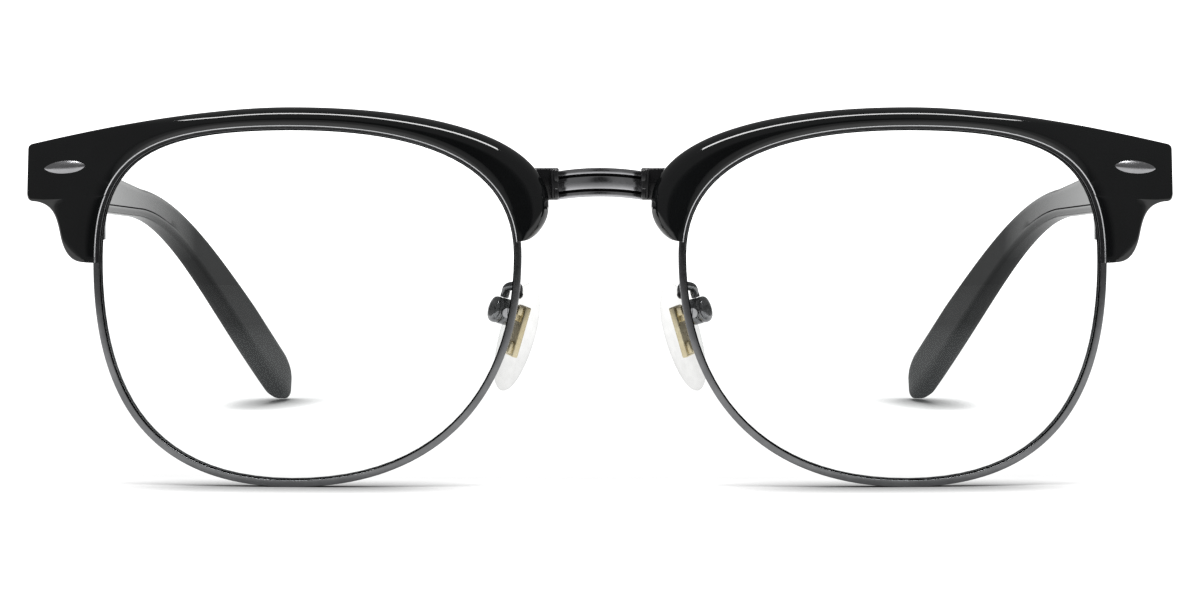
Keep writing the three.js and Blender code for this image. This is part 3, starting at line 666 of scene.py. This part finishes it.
@dataclass
class Brow(Part):
    """The black bar over a lens: a crowned section that runs from the nose end to the lug and leg.

    Attributes:
        face: how far its face stands before the curved front, in millimetres.
        back: how far its rear lies behind it.
        lip: edge of the plastic above the rim's inner edge.
        soft_edge: radius of the outer edge where the bar is narrow.
        crisp_edge: radius of the outer edge at the lug.
        lens_edge: radius of the edge along the lens.
        bulge: how far the face's middle stands before its edges.
        rear_edge: radius of the rear edges.
        nose: reach beyond the lens opening, to the nose.
        reach: reach beyond it to the side.
        height: above the opening.
    """

    face: float = 2.5
    back: float = 2.1
    lip: float = 0.35
    soft_edge: float = 1.7
    crisp_edge: float = 0.3
    lens_edge: float = 0.2
    bulge: float = 0.32
    rear_edge: float = 0.35
    nose: float = 4.2
    reach: float = 9.4
    height: float = 2.75

    def outer_edge(self) -> list[Vector]:
        """The outline away from the lens, from the nose tip over the top to the foot of the leg."""
        outline = self.front.outline
        nose = -outline.half - self.nose
        tip = outline.inner_rise + 1.85
        top = outline.top + self.height
        end = outline.half + self.reach
        lug = outline.top - 1.85
        low = lug - 6.9
        leg = outline.outer_rise - 0.7
        half = outline.half
        shift = outline.top_shift
        knots = [
            (nose + 3.7, tip + 0.04),
            (nose + 3.5, tip + 0.01), (nose + 3.3, tip), (nose + 3.0, tip),
            (nose + 1.9, tip), (nose, tip + 2.0), (nose, tip + 4.2),
            (nose, tip + 12.7), (shift - 18.2, top), (shift, top),
            (shift + 9.4, top), (end - 12.3, lug + 2.65), (end - 0.7, lug + 0.17),
            (end - 0.25, lug + 0.08), (end, lug - 0.1), (end, lug - 0.55),
            (end, lug - 2), (end, low + 2), (end, low + 0.75),
            (end, low + 0.2), (end - 0.3, low - 0.15), (end - 0.85, low - 0.18),
            (end - 1.1, low - 0.19), (end - 1.4, low - 0.22), (end - 1.7, low - 0.3),
            (end - 3.3, low - 0.75), (half + 5.5, leg + 6.0), (half + 5.0, leg + 3.65),
            (half + 4.7, leg + 2.2), (half + 4.2, leg + 1.1), (half + 3.4, leg + 0.5),
            (half + 2.8, leg + 0.05), (half + 2.0, leg), (half + 0.8, leg),
        ]
        return bezier(knots, [2, 10, 40, 34, 6, 9, 7, 3, 12, 9, 7])

    def section(self, width: float, u: float) -> list[tuple[float, float]]:
        """The section as (distance from the lens edge, w), once round.

        Args:
            width: from the edge along the lens to the outer edge.
            u: where it meets the outer edge; the edge is crisp at the lug.

        Returns:
            Corners, starting on the lens side at the front.
        """
        soft = min(1.0, max(0.0, (24.0 - u) / 16.0))
        outer = min(self.crisp_edge + soft * (self.soft_edge - self.crisp_edge), 0.62 * width)
        inner = min(self.lens_edge, 0.3 * width)
        rear = min(self.rear_edge, 0.3 * width)
        groove = min(self.front.RIM_WIDTH + 0.1 - self.lip, 0.6 * width)
        half = self.front.RIM_DEPTH / 2 + 0.05

        def face(across: float, down: float) -> tuple[float, float]:
            """A point of the crowned face, lowered by down."""
            share = 2 * across / width - 1
            return (across, self.bulge * share * share + down - self.face)

        flat = [inner + (width - outer - inner) * i / 6 for i in range(1, 6)]
        return (
            [face(a, b) for a, b in quarter(inner, 6)]
            + [face(across, 0) for across in flat]
            + [face(width - b, a) for a, b in quarter(outer, 6)]
            + [(width - a, self.back - b) for a, b in quarter(rear, 3)]
            + [(b, self.back - a) for a, b in quarter(rear, 3)]
            + [(0, half), (groove, half), (groove, -half), (0.04 - self.lip, -half)]
        )

    def lift(self, point: Vector) -> float:
        """How far up the lens edge a lug point's section starts, so that it stays inside the bar.

        Args:
            point: a point of the outer edge; the lift is full under the lug and 0 above and inside it.
        """
        low = self.front.outline.top - 8.45
        side = min(1.0, max(0.0, (point.x - self.front.outline.half - 4.6) / 2.0))
        over = min(1.0, max(0.0, (point.y - low) / 6.0))
        return 4.4 * side * (1 - over)

    def build(self) -> bpy.types.Object:
        """Lofts the bar along its outer edge, each section square to the lens outline."""
        lens_edge = [p for p, _ in self.front.outline.stations(60)]
        rings = []
        for point in self.outer_edge():
            aim = point + Vector((0, self.lift(point)))
            foot = min(lens_edge, key=lambda p: (p - aim).length)
            along = (point - foot).normalized()
            start = foot + along * self.lip
            width = max((point - start).length, 0.12)
            section = self.section(width, point.x)
            rings.append(self.front.ring((start + along * across, w) for across, w in section))
        looks = self.finishes
        inner_wall = len(rings[0]) - 1
        # The wall beside the rim gets the dark matte finish; the first four strips of the lens-side rounding get
        # the light metal, a painted highlight line.
        bm = loft(rings, marks={inner_wall: 1, 0: 2, 1: 2, 2: 2, 3: 2})
        others = (looks.ground, looks.edge)
        return self.finish(bm, "brow_bar", "brow", "gloss_plastic", looks.gloss, 42, others=others)


@dataclass
class Rim(Part):
    """The metal rim with its lens groove, and the lens in it.

    Attributes:
        groove: depth of the groove.
        lens_half: half the lens's thickness.
        lens_gap: from the opening's edge to the lens's flat edge.
    """

    groove: float = 0.42
    lens_half: float = 0.75
    lens_gap: float = 0.12

    def build(self) -> bpy.types.Object:
        """The rim, with rounded front and rear edges."""
        wide, deep = self.front.RIM_WIDTH, self.front.RIM_DEPTH / 2
        outer, inner = 0.13, 0.08
        section = (
            [(a, b - deep) for a, b in quarter(inner, 3)]
            + [(wide - b, a - deep) for a, b in quarter(outer, 3)]
            + [(wide - a, deep - b) for a, b in quarter(outer, 3)]
            + [(b, deep - a) for a, b in quarter(inner, 3)]
            + [(0, 0.4), (self.groove, 0.05), (self.groove, -0.05), (0, -0.4)]
        )
        stations = self.front.outline.stations(44)
        rings = [self.front.ring((point + out * n, w) for n, w in section) for point, out in stations]
        bm = loft(rings, closed=True)
        return self.finish(bm, "rim_wire", "rim", "gunmetal", self.finishes.gunmetal, 60)

    def build_lens(self) -> bpy.types.Object:
        """The lens: two curved faces and an edge with a bevel that sits in the groove."""
        half = self.lens_half
        edge = -self.lens_gap
        shares = (0.04, 0.2, 0.4, 0.6, 0.8, 1)
        stages = [(share, edge, -half) for share in shares]
        stages += [(1, edge, -0.3), (1, 0.3, 0), (1, edge, 0.3)]
        stages += [(share, edge, half) for share in reversed(shares)]
        stations = self.front.outline.stations(24)
        rings = []
        for share, n, w in stages:
            rings.append(self.front.ring(((point + out * n) * share, w) for point, out in stations))
        bm = loft(rings)
        # Edge faces get the dark matte finish: a ground edge, painted near-black for the shade inside the rim's
        # groove.
        for face in bm.faces:
            level = face.calc_center_median() / MM
            u, v = abs(level.x) - self.front.centre_x, level.z - self.front.centre_z
            if abs(level.y - self.front.y - self.front.dish(u, v)) < half - 0.05:
                face.material_index = 1
        looks = self.finishes
        return self.finish(bm, "lens_pane", "lens", "lens", looks.lens, 35, others=(looks.ground,))


@dataclass
class Plaque(Part):
    """A pointed oval of polished metal set in the lug, domed along its length.

    Attributes:
        length: from point to point.
        height: at its middle.
        dome: rise of its middle over its edge.
        tilt: turn on the lug in degrees.
        face: how far the bar's face stands before the curved front.
        proud: how far the oval's edge lies behind that.
    """

    length: float = 5.75
    height: float = 1.8
    dome: float = 0.4
    tilt: float = -4.0
    face: float = Brow.face
    proud: float = 0.1

    def build(self) -> bpy.types.Object:
        """Lofts the oval's outline from its rear over its edge to the top of the dome, along the front."""
        low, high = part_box(f"plaque_{self.front.side.suffix}")
        centre = (low + high) / 2 / MM
        u, v = abs(centre.x) - self.front.centre_x, centre.z - self.front.centre_z
        half = self.length / 2
        handle = Vector((half * 0.72, self.height * 2 / 3))
        knots = [(-half, 0), (-handle.x, handle.y), handle, (half, 0)]
        upper = bezier(knots, [16])[:-1]
        turn = Matrix.Rotation(math.radians(self.tilt), 2)
        outline = [turn @ p for p in upper + [-p for p in upper]]
        edge = self.proud - self.face
        stages = [(0.97, edge + 0.7), (0.97, edge + 0.15), (1.0, edge + 0.05), (0.985, edge)]
        stages += [(1 - i / 7, edge - self.dome * (1 - (1 - i / 7) ** 2)) for i in range(1, 7)]
        stages += [(0.03, edge - self.dome)]
        rings = [[self.front.at(u + p.x * share, v + p.y * share, w) for p in outline] for share, w in stages]
        return self.finish(loft(rings), "plaque_dome", "plaque", "plaque", self.finishes.plaque, 40)


@dataclass
class Bridge(Part):
    """The arched bar between the brows with three raised bands, and the claw that holds each end.

    Attributes:
        arch: rise of the middle over the ends.
        bow: how far the middle stands before the ends.
    """

    arch: float = 0.4
    bow: float = 1.25

    def section(self, half: float, deep: float) -> list[tuple[float, float]]:
        """The bar's section as (back, rise): bevels, three bands and two grooves.

        Args:
            half: half the bar's height.
            deep: its thickness.
        """
        bands = [(-half, -1.02, 0.14), (-0.84, 0.82, 0.1), (1.0, half, 0.16)]
        corners = []
        for low, high, edge in bands:
            rounding = [(0.4, 0), (0.12, edge * 0.4), (0.03, edge * 0.8), (0, edge + 0.1)]
            corners += [(back, low + inwards) for back, inwards in rounding]
            corners += [(back, high - inwards) for back, inwards in reversed(rounding)]
        rear = [(0.6, half), (deep - 0.3, half), (deep, half - 0.3)]
        return corners + rear + [(back, -rise) for back, rise in reversed(rear)]

    def build(self) -> bpy.types.Object:
        """Lofts the section from end to end."""
        low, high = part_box("bridge")
        reach = high.x / MM
        half = ((high.z - low.z) / MM - self.arch) / 2
        middle = (low.z + high.z) / 2 / MM
        ends = low.y / MM + 1.3
        steps = 48
        rings = []
        for i in range(steps + 1):
            x = reach * (2 * i / steps - 1)
            share = abs(x) / reach
            bow = 1 - share * share * (1.9 - 0.9 * share)
            ring = []
            lift = middle + self.arch * (0.5 - share * share)
            for back, rise in self.section(half, high.y / MM - ends):
                ring.append(Vector((x, ends - self.bow * bow + back, lift + rise)) * MM)
            rings.append(ring)
        looks = self.finishes
        piece = Piece("bridge_bar", "front", "gunmetal", looks.bridge, ("bridge",), 32, (looks.ground,))
        # The grooves between the bands get the near-black matte finish: painted shade in the recesses.
        painted_groove_shade = dict.fromkeys((6, 7, 8, 14, 15, 16), 1)
        return piece.finish(loft(rings, marks=painted_groove_shade))

    def build_claw(self, side: Side) -> bpy.types.Object:
        """The lug behind a brow's nose end, with a hooked front that meets the bridge."""
        suffix = side.suffix
        low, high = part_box(f"bridge_lug_{suffix}")
        near = min(abs(low.x), abs(high.x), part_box("bridge")[1].x - 0.1 * MM) / MM
        far = max(abs(low.x), abs(high.x)) / MM
        front, back = low.y / MM, high.y / MM
        bottom, top = low.z / MM, high.z / MM
        bm = block((near, back - 1.7, bottom), (far - 0.4, back - 0.25, top), 0.25)
        for piece in (
            block((near, front - 0.75, bottom + 0.1), (near + 0.98, back - 0.6, top - 0.12), 0.28),
            block((near - 0.02, front - 1.0, bottom + 2.3), (near + 0.62, front, top - 0.25), 0.22),
            block((near - 0.02, front - 1.0, bottom + 0.25), (near + 0.62, front, bottom + 1.5), 0.22),
        ):
            merge(bm, piece)
        if side is Side.RIGHT:
            bmesh.ops.scale(bm, vec=(-1, 1, 1), verts=bm.verts)
            bmesh.ops.recalc_face_normals(bm, faces=bm.faces)
        nodes = (f"bridge_lug_{suffix}",)
        piece = Piece(f"bridge_claw_{suffix}", "front", "gunmetal", self.finishes.dark, nodes, 40)
        return piece.finish(bm)


# ---------------------------------------------------------------- temple


@dataclass
class Temple(Part):
    """A temple: flat on its inner side, soft at its edges, bending down behind the ear.

    Attributes:
        inset: from the hinge's axis out to the inner side.
        lean: how much it leans in as it goes back.
        low: from the hinge's middle down to the centre line.
        drop: how much the centre line drops as it goes back.
        straight: length of its straight part.
        pull: how far the bend keeps the straight part's direction.
        tip_inset: how far in of the front end the tip lies.
        tip_gap: from the tip to the rear of its CAD node.
        tip_height: of the tip's centre over the floor.
        tip_pull: from the tip to the bend's last handle.
        tall: height of the bar at the bend's start and at the tip.
        thick: thickness of the bar there.
        flare: reach up and down of the front end, from the centre line.
        groove: depth of the line along the straight part.
        inner_edge: radius of the inner edges, which grow towards the tip.
        nib: share of the bend over which the tip rounds off.
    """

    inset: float = 1.47
    lean: float = 0.08
    low: float = 0.3
    drop: float = 0.062
    straight: float = 34.0
    pull: float = 27.0
    tip_inset: float = 13.6
    tip_gap: float = 0.2
    tip_height: float = 1.68
    tip_pull: tuple[float, float, float] = (5.5, -42, 18)
    tall: tuple[float, float] = (4.0, 7.6)
    thick: tuple[float, float] = (3.1, 3.9)
    flare: tuple[float, float] = (4.2, 2.8)
    groove: float = 0.3
    inner_edge: float = 0.55
    nib: float = 0.07

    def path(self) -> tuple[Callable[[float], Vector], list[Vector]]:
        """The inner side's centre line: a function for its straight part, and the bend's four points."""
        joint = next(j for j in frame["joints"] if j["name"] == f"temple_{self.front.side.suffix}_fold")
        hinge = Vector(joint["pos_m"]) / MM
        hinge.x = abs(hinge.x)

        def line(back: float) -> Vector:
            """The point at a distance behind the hinge."""
            inner = hinge.x + self.inset - self.lean * back
            return Vector((inner, hinge.y + back, hinge.z - self.low - self.drop * back))

        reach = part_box(f"temple_{self.front.side.suffix}")[1].y / MM
        tip = Vector((hinge.x + self.inset - self.tip_inset, reach - self.tip_gap, self.tip_height))
        end = self.straight
        return line, [line(end), line(end + self.pull), tip + Vector(self.tip_pull), tip]

    def ring(self, at: Vector, up: Vector, share: float, flare: float, cap: float) -> list[Vector]:
        """One section.

        Args:
            at: the inner side's centre.
            up: its upward direction.
            share: how far round the bend, 0 to 1.
            flare: 1 at the tall front end, 0 from the bend on.
            cap: 1 along the bar, falling to 0 round the tip.
        """
        smooth = share * share * (3 - 2 * share)
        tall = (self.tall[0] + (self.tall[1] - self.tall[0]) * smooth) * cap
        full = self.thick[0] + (self.thick[1] - self.thick[0]) * smooth
        thick = full * (0.06 + 0.94 * cap)
        top = tall / 2 + flare * (self.flare[0] - self.tall[0] / 2)
        low = tall / 2 + flare * (self.flare[1] - self.tall[0] / 2)
        edge = self.inner_edge * cap * (1 + 1.6 * max(0.0, 4 * share - 3))
        soft = min(1.5, 0.45 * thick) * cap
        inner, outer = quarter(edge, 4), quarter(soft, 4)
        points = [(a, top - 1.6 * b) for a, b in inner]
        points += [(thick - a, top - b) for a, b in reversed(outer)]
        points += [(thick - a, b - low) for a, b in outer]
        points += [(a, 1.6 * b - low) for a, b in reversed(inner)]
        shift = (full - thick) / 2
        start, stop = edge * 1.6 - low, top - edge * 1.6
        cut = self.groove * max(0.0, 1 - 4 * share)
        line = [(0, 0.04), (0, 0.12), (cut, 0.22), (0, 0.32)]
        points += [(across, start + rise * cap) for across, rise in line]
        points += [(0, (start + stop) / 2), (0, stop - 0.04 * cap)]
        return [at + up * rise + Vector((across + shift, 0, 0)) for across, rise in points]

    def build(self) -> bpy.types.Object:
        """Lofts the sections from the hinge to the tip."""
        line, curve = self.path()
        rings = []
        rise = Vector((0, 0, 1))
        for back in (-4.0, -3.0, 0, 6, 12, 18, 24, 30):
            flare = max(0.0, 1 - (back + 4.5) / 38.5)
            rings.append(self.ring(line(back), rise, 0, flare, 1))
        front = self.front
        stop = [front.at(p.x - front.centre_x, p.z - front.centre_z, 3.1).y / MM for p in rings[0]]
        middle = sum(rings[0], Vector()) / len(rings[0])
        rings[0] = [
            Vector((middle.x + (p.x - middle.x) * 0.93, y, middle.z + (p.z - middle.z) * 0.95))
            for p, y in zip(rings[0], stop)
        ]
        rings[1] = [Vector((p.x, y + 0.3, p.z)) for p, y in zip(rings[1], stop)]
        fine = 600
        points = interpolate_bezier(*curve, fine + 1)
        round_from = 1 - self.nib
        shares = [round_from * i / 56 for i in range(57)]
        shares += [round_from + self.nib * math.sin(math.radians(9 * i)) for i in range(1, 11)]
        for share in shares:
            i = round(share * fine)
            along = (points[min(i + 3, fine)] - points[max(i - 3, 0)]).normalized()
            across = (Vector((1, 0, 0)) - along * along.x).normalized()
            past = min(1.0, max(0.0, (share - round_from) / self.nib))
            cap = max(0.05, math.sqrt(1 - past ** 2))
            rings.append(self.ring(points[i], across.cross(along), share, 0, cap))
        sided = [[self.front.mirror(p) for p in ring] for ring in rings]
        black = self.finishes.temple
        return self.finish(loft(sided), "temple_bar", "temple", "gloss_plastic", black, 35, "temple")


# ---------------------------------------------------------------- nose pad


@dataclass
class NosePad(Part):
    """A clear pad with its gold insert, the round box that holds it and the bent wire to the rim.

    Attributes:
        size: length, width and thickness of the pad.
        insert: length, width and thickness of the gold plate.
        insert_rise: from the pad's centre up to the plate's.
        tilt: of the pad's top towards the nose, in degrees.
        splay: turn of its face from straight sideways, in degrees.
        gap: between the pad and the box.
        lift: from the pad's centre up to the box's axis.
        drum: radius, length and wall of the box.
        wire: radius of the wire.
    """

    size: tuple[float, float, float] = (14.0, 8.3, 2.6)
    insert: tuple[float, float, float] = (6.5, 2.6, 0.8)
    insert_rise: float = 0.75
    tilt: float = 16.0
    splay: float = 22.0
    gap: float = 0.45
    lift: float = 2.7
    drum: tuple[float, float, float] = (1.65, 2.6, 0.42)
    wire: float = 0.55

    def __post_init__(self) -> None:
        """Finds the pad's own axes and its centre, for the left side in millimetres."""
        tilt, splay = math.radians(self.tilt), math.radians(self.splay)
        self.up = Vector((-math.sin(tilt), 0, math.cos(tilt)))
        level = Vector((math.cos(splay), -math.sin(splay), 0))
        self.out = (level + self.up * math.cos(splay) * math.sin(tilt)).normalized()
        self.back = self.up.cross(self.out)
        low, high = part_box(f"nose_pad_{self.front.side.suffix}")
        self.centre = (low + high) / 2 / MM
        self.centre.x = abs(self.centre.x)
        self.mouth = self.size[2] / 2 + self.gap

    def at(self, out: float, back: float, up: float) -> Vector:
        """A point given along the pad's own axes, on this side, in metres."""
        return self.front.mirror(self.centre + self.out * out + self.back * back + self.up * up)

    def place(self, bm: bmesh.types.BMesh) -> bmesh.types.BMesh:
        """Moves a shape built along the pad's own axes, in millimetres, into its place."""
        for vert in bm.verts:
            vert.co = self.at(*(vert.co / MM))
        bmesh.ops.recalc_face_normals(bm, faces=bm.faces)
        return bm

    def build(self) -> list[bpy.types.Object]:
        """Makes the pad, the insert, the box and the wire."""
        return [self.build_pad(), self.build_insert(), self.build_drum(), self.build_wire()]

    def build_pad(self) -> bpy.types.Object:
        """The clear oval, rounder along its rim than across its faces."""
        length, width, thick = self.size
        rings = []
        for i in range(17):
            turn = math.radians(-90 + 180 * i / 16)
            share = 0.55 + 0.45 * math.cos(turn)
            height = thick / 2 * math.sin(turn)
            ring = []
            for c, s in circle(48):
                wide = width / 2 * (1 + 0.1 * s)
                ring.append(self.at(height, wide * share * c, length / 2 * share * s))
            rings.append(ring)
        soft = self.finishes.silicone
        obj = self.finish(loft(rings), "pad_silicone", "nose_pad", "silicone", soft, 60, "nose_pad")
        return obj

    def build_insert(self) -> bpy.types.Object:
        """The gold plate in the pad, the stem to the box and the stops at its ends."""
        length, width, thick = self.insert
        tongue = self.mouth + self.drum[1] - self.drum[2] - 0.35
        low, high = self.insert_rise - length / 2, self.insert_rise + length / 2
        bm = block((-thick / 2, -width / 2, low), (thick / 2, width / 2, high), 0.15)
        for piece in (
            block((0, -0.5, self.lift - 0.75), (tongue, 0.5, self.lift + 0.75), 0.12),
            block((0, -0.9, high - 1.3), (1.15, 0.9, high - 0.1), 0.15),
            block((0, -0.9, low + 0.3), (0.95, 0.9, low + 1.8), 0.15),
        ):
            merge(bm, piece)
        gold = self.finishes.gold
        return self.finish(
            self.place(bm), "pad_insert_plate", "pad_insert", "pad_insert", gold, 40, "nose_pad"
        )

    def build_drum(self) -> bpy.types.Object:
        """The round box: open towards the pad, with a groove round it and a domed end."""
        radius, length, wall = self.drum
        inside = [(length - wall, radius - 0.1), (length - wall, wall), (0.12, wall), (0, wall - 0.1)]
        front_edge = [(0, 0.18), (0.05, 0.06), (0.18, 0)]
        groove = [(1.3, 0), (1.38, 0.05), (1.42, 0.2), (1.54, 0.2), (1.58, 0.05), (1.66, 0)]
        dome = [(2.05, 0), (2.3, 0.08), (2.46, 0.25), (2.56, 0.55), (length, 0.95), (length, radius - 0.1)]
        rings = []
        for out, inwards in inside + front_edge + groove + dome:
            r = radius - inwards
            rings.append([self.at(self.mouth + out, r * c, self.lift + r * s) for c, s in circle(40)])
        return self.finish(loft(rings), "pad_drum", "pad_box", "gunmetal", self.finishes.gunmetal, 35)

    def build_wire(self) -> bpy.types.Object:
        """The wire from the rim, back and over, to the top of the box."""
        rim_u = -self.front.outline.half - 0.425
        root = self.front.at(rim_u, 1.2, 1.02) / MM
        root.x = abs(root.x)
        radius, length, _ = self.drum
        end = self.centre + self.out * (self.mouth + length / 2) + self.up * (self.lift + radius + 0.06)
        spots = [
            root,
            root + Vector((0, 0.8, 0)),
            root + Vector((0.2, 2.1, 0.9)),
            end + Vector((-0.5, -0.7, 1.3)),
            end + self.up * 0.5,
            end,
        ]
        path = smooth_path(spots, 12)
        last = len(path) - 1
        side = Vector((0, 0, 1))
        rings = []
        for i, point in enumerate(path):
            along = (path[min(i + 1, last)] - path[max(i - 1, 0)]).normalized()
            side = (side - along * side.dot(along)).normalized()
            other = along.cross(side)
            thick = self.wire - (0.1 if i in (0, last) else 0.0)
            ring = [point + (side * c + other * s) * thick for c, s in circle(16)]
            rings.append([self.front.mirror(p) for p in ring])
        return self.finish(loft(rings), "pad_wire", "pad_arm", "gunmetal", self.finishes.gunmetal, 50)


# ---------------------------------------------------------------- the studio


@dataclass
class Studio:
    """A pale floor, a grey surround with a white wall behind the object, a soft box and the camera.

    Attributes:
        front_y: Y of the front's middle.
        camera_gap: camera to the front of the eyeglasses.
        eye_height: of the camera over the floor.
        lens_mm: focal length on a 36 mm sensor.
        rise: vertical shift that puts the horizon above the middle of the picture.
        front_shade: grey of the surround except behind the object.
        centre_shade: grey straight before the object.
        wall_glow: brightness of the wall behind it.
        floor_grey: colour of the floor's paint.
        floor_glow: the floor's own light near the object and far from it.
        contact: reach of the shadow where something stands on the floor.
    """

    front_y: float
    camera_gap: float = 0.315
    eye_height: float = 0.0364
    lens_mm: float = 76.85
    rise: float = -0.09
    front_shade: float = 0.22
    centre_shade: float = 0.03
    wall_glow: float = 1.8
    floor_grey: float = 0.3
    floor_glow: tuple[float, float] = (0.86, 1.7)
    contact: float = 0.008

    def build(self) -> None:
        """Makes the camera, floor, surround and lights."""
        self.make_camera()
        self.make_floor()
        self.make_surround()
        self.soft_box("box_above", (0.0, -0.28, 0.9), (14, 0, 0), (0.9, 0.17), 8.5)

    def make_camera(self) -> None:
        """A level camera before the bridge, shifted so that it looks slightly down."""
        data = bpy.data.cameras.new("camera")
        data.lens = self.lens_mm
        data.sensor_width = 36.0
        data.shift_y = self.rise
        data.clip_start = 0.01
        camera = add_object("camera", data)
        camera.location = (0.0, self.front_y - self.camera_gap, self.eye_height)
        camera.rotation_euler = (math.radians(90), 0, 0)
        bpy.context.scene.camera = camera

    def make_floor(self) -> None:
        """A white floor that glows a little, less before the object, with a painted contact shadow: the glow dims
        where something stands on it.
        """
        graph = Graph(bpy.data.materials.new("floor_white"))
        grey = self.floor_grey
        paint = graph.add("BsdfDiffuse", Color=(grey, grey, grey, 1))
        glow = graph.add("Emission", Color=(1, 1, 1, 1))
        both = graph.add("AddShader")
        place = graph.add("TexCoord")
        length = graph.add("VectorMath")
        length.operation = "LENGTH"
        graph.link(place.outputs["Object"], length.inputs[0])
        far = graph.ranged(length.outputs["Value"], 0.12, 0.9, *self.floor_glow)
        before = graph.ranged(graph.axes().outputs["Y"], -0.3, -0.16, 0.1, 1.0)
        # Painted contact shadow: the glow falls with the cube of the ambient occlusion near anything over the
        # floor.
        corner = graph.add("AmbientOcclusion", Distance=self.contact)
        corner.samples = 8
        unshaded_share = corner.outputs["AO"]
        strength = graph.product(far, unshaded_share, unshaded_share, unshaded_share, before)
        graph.link(strength, glow.inputs["Strength"])
        graph.link(paint.outputs["BSDF"], both.inputs[0])
        graph.link(glow.outputs["Emission"], both.inputs[1])
        bm = bmesh.new()
        bmesh.ops.create_grid(bm, x_segments=1, y_segments=1, size=6.0)
        mesh = bpy.data.meshes.new("floor")
        bm.to_mesh(mesh)
        bm.free()
        mesh.materials.append(graph.show(both.outputs["Shader"]))
        floor = add_object("floor", mesh)

    def make_surround(self) -> None:
        """White low down behind, nearly black straight before the object and grey everywhere else."""
        world = bpy.data.worlds.new("surround")
        bpy.context.scene.world = world
        graph = Graph(world)
        way = graph.axes("Generated").outputs
        sideways = graph.product(way["X"], way["X"])
        behind = graph.step(way["Y"], 0.35, 0.6)
        low = graph.step(way["Z"], 0.24, 0.12)
        wall = graph.product(behind, low, graph.step(sideways, 0.27, 0.16))
        before = graph.step(way["Y"], -0.88, -0.97)
        dark = graph.blend(self.front_shade, self.centre_shade, before)
        sky = graph.add("Background")
        graph.link(graph.blend(dark, self.wall_glow, wall), sky.inputs["Color"])
        graph.show(sky.outputs["Background"])
        bpy.context.scene.view_settings.view_transform = "Standard"

    def soft_box(self, name: str, place: tuple, turn: tuple, size: tuple, power: float) -> None:
        """An area light.

        Args:
            name: the light's name.
            place: its centre.
            turn: its rotation in degrees; unturned, it faces down.
            size: its width and depth.
            power: watts.
        """
        data = bpy.data.lights.new(name, "AREA")
        data.shape = "RECTANGLE"
        data.size, data.size_y = size
        data.energy = power
        light = add_object(name, data)
        light.location = place
        light.rotation_euler = tuple(math.radians(a) for a in turn)


def dress_frame(finishes: Finishes) -> None:
    """Gives every CAD node the finish of its material slot."""
    by_slot = {
        "gloss_plastic": finishes.gloss,
        "gunmetal": finishes.gunmetal,
        "plaque": finishes.plaque,
        "screw": finishes.screw,
        "pad_insert": finishes.gold,
        "lens": finishes.lens,
        "silicone": finishes.silicone,
    }
    for entry in frame["record"]["subparts"]:
        node = frame["nodes"][entry["node"]]
        node.data.materials.clear()
        node.data.materials.append(by_slot[entry["material_slot"]])


def main() -> None:
    """Builds the studio and every piece."""
    logging.basicConfig(level=logging.INFO, format="%(name)s %(message)s")
    fronts = [Front(side) for side in Side]
    Studio(fronts[0].y * MM).build()
    finishes = Finishes()
    dress_frame(finishes)
    for front in fronts:
        Brow(front, finishes).build()
        rim = Rim(front, finishes)
        rim.build()
        rim.build_lens()
        Plaque(front, finishes).build()
        Temple(front, finishes).build()
        NosePad(front, finishes).build()
    bridge = Bridge(fronts[0], finishes)
    bridge.build()
    for side in Side:
        bridge.build_claw(side)


if __name__ == "__main__":
    main()
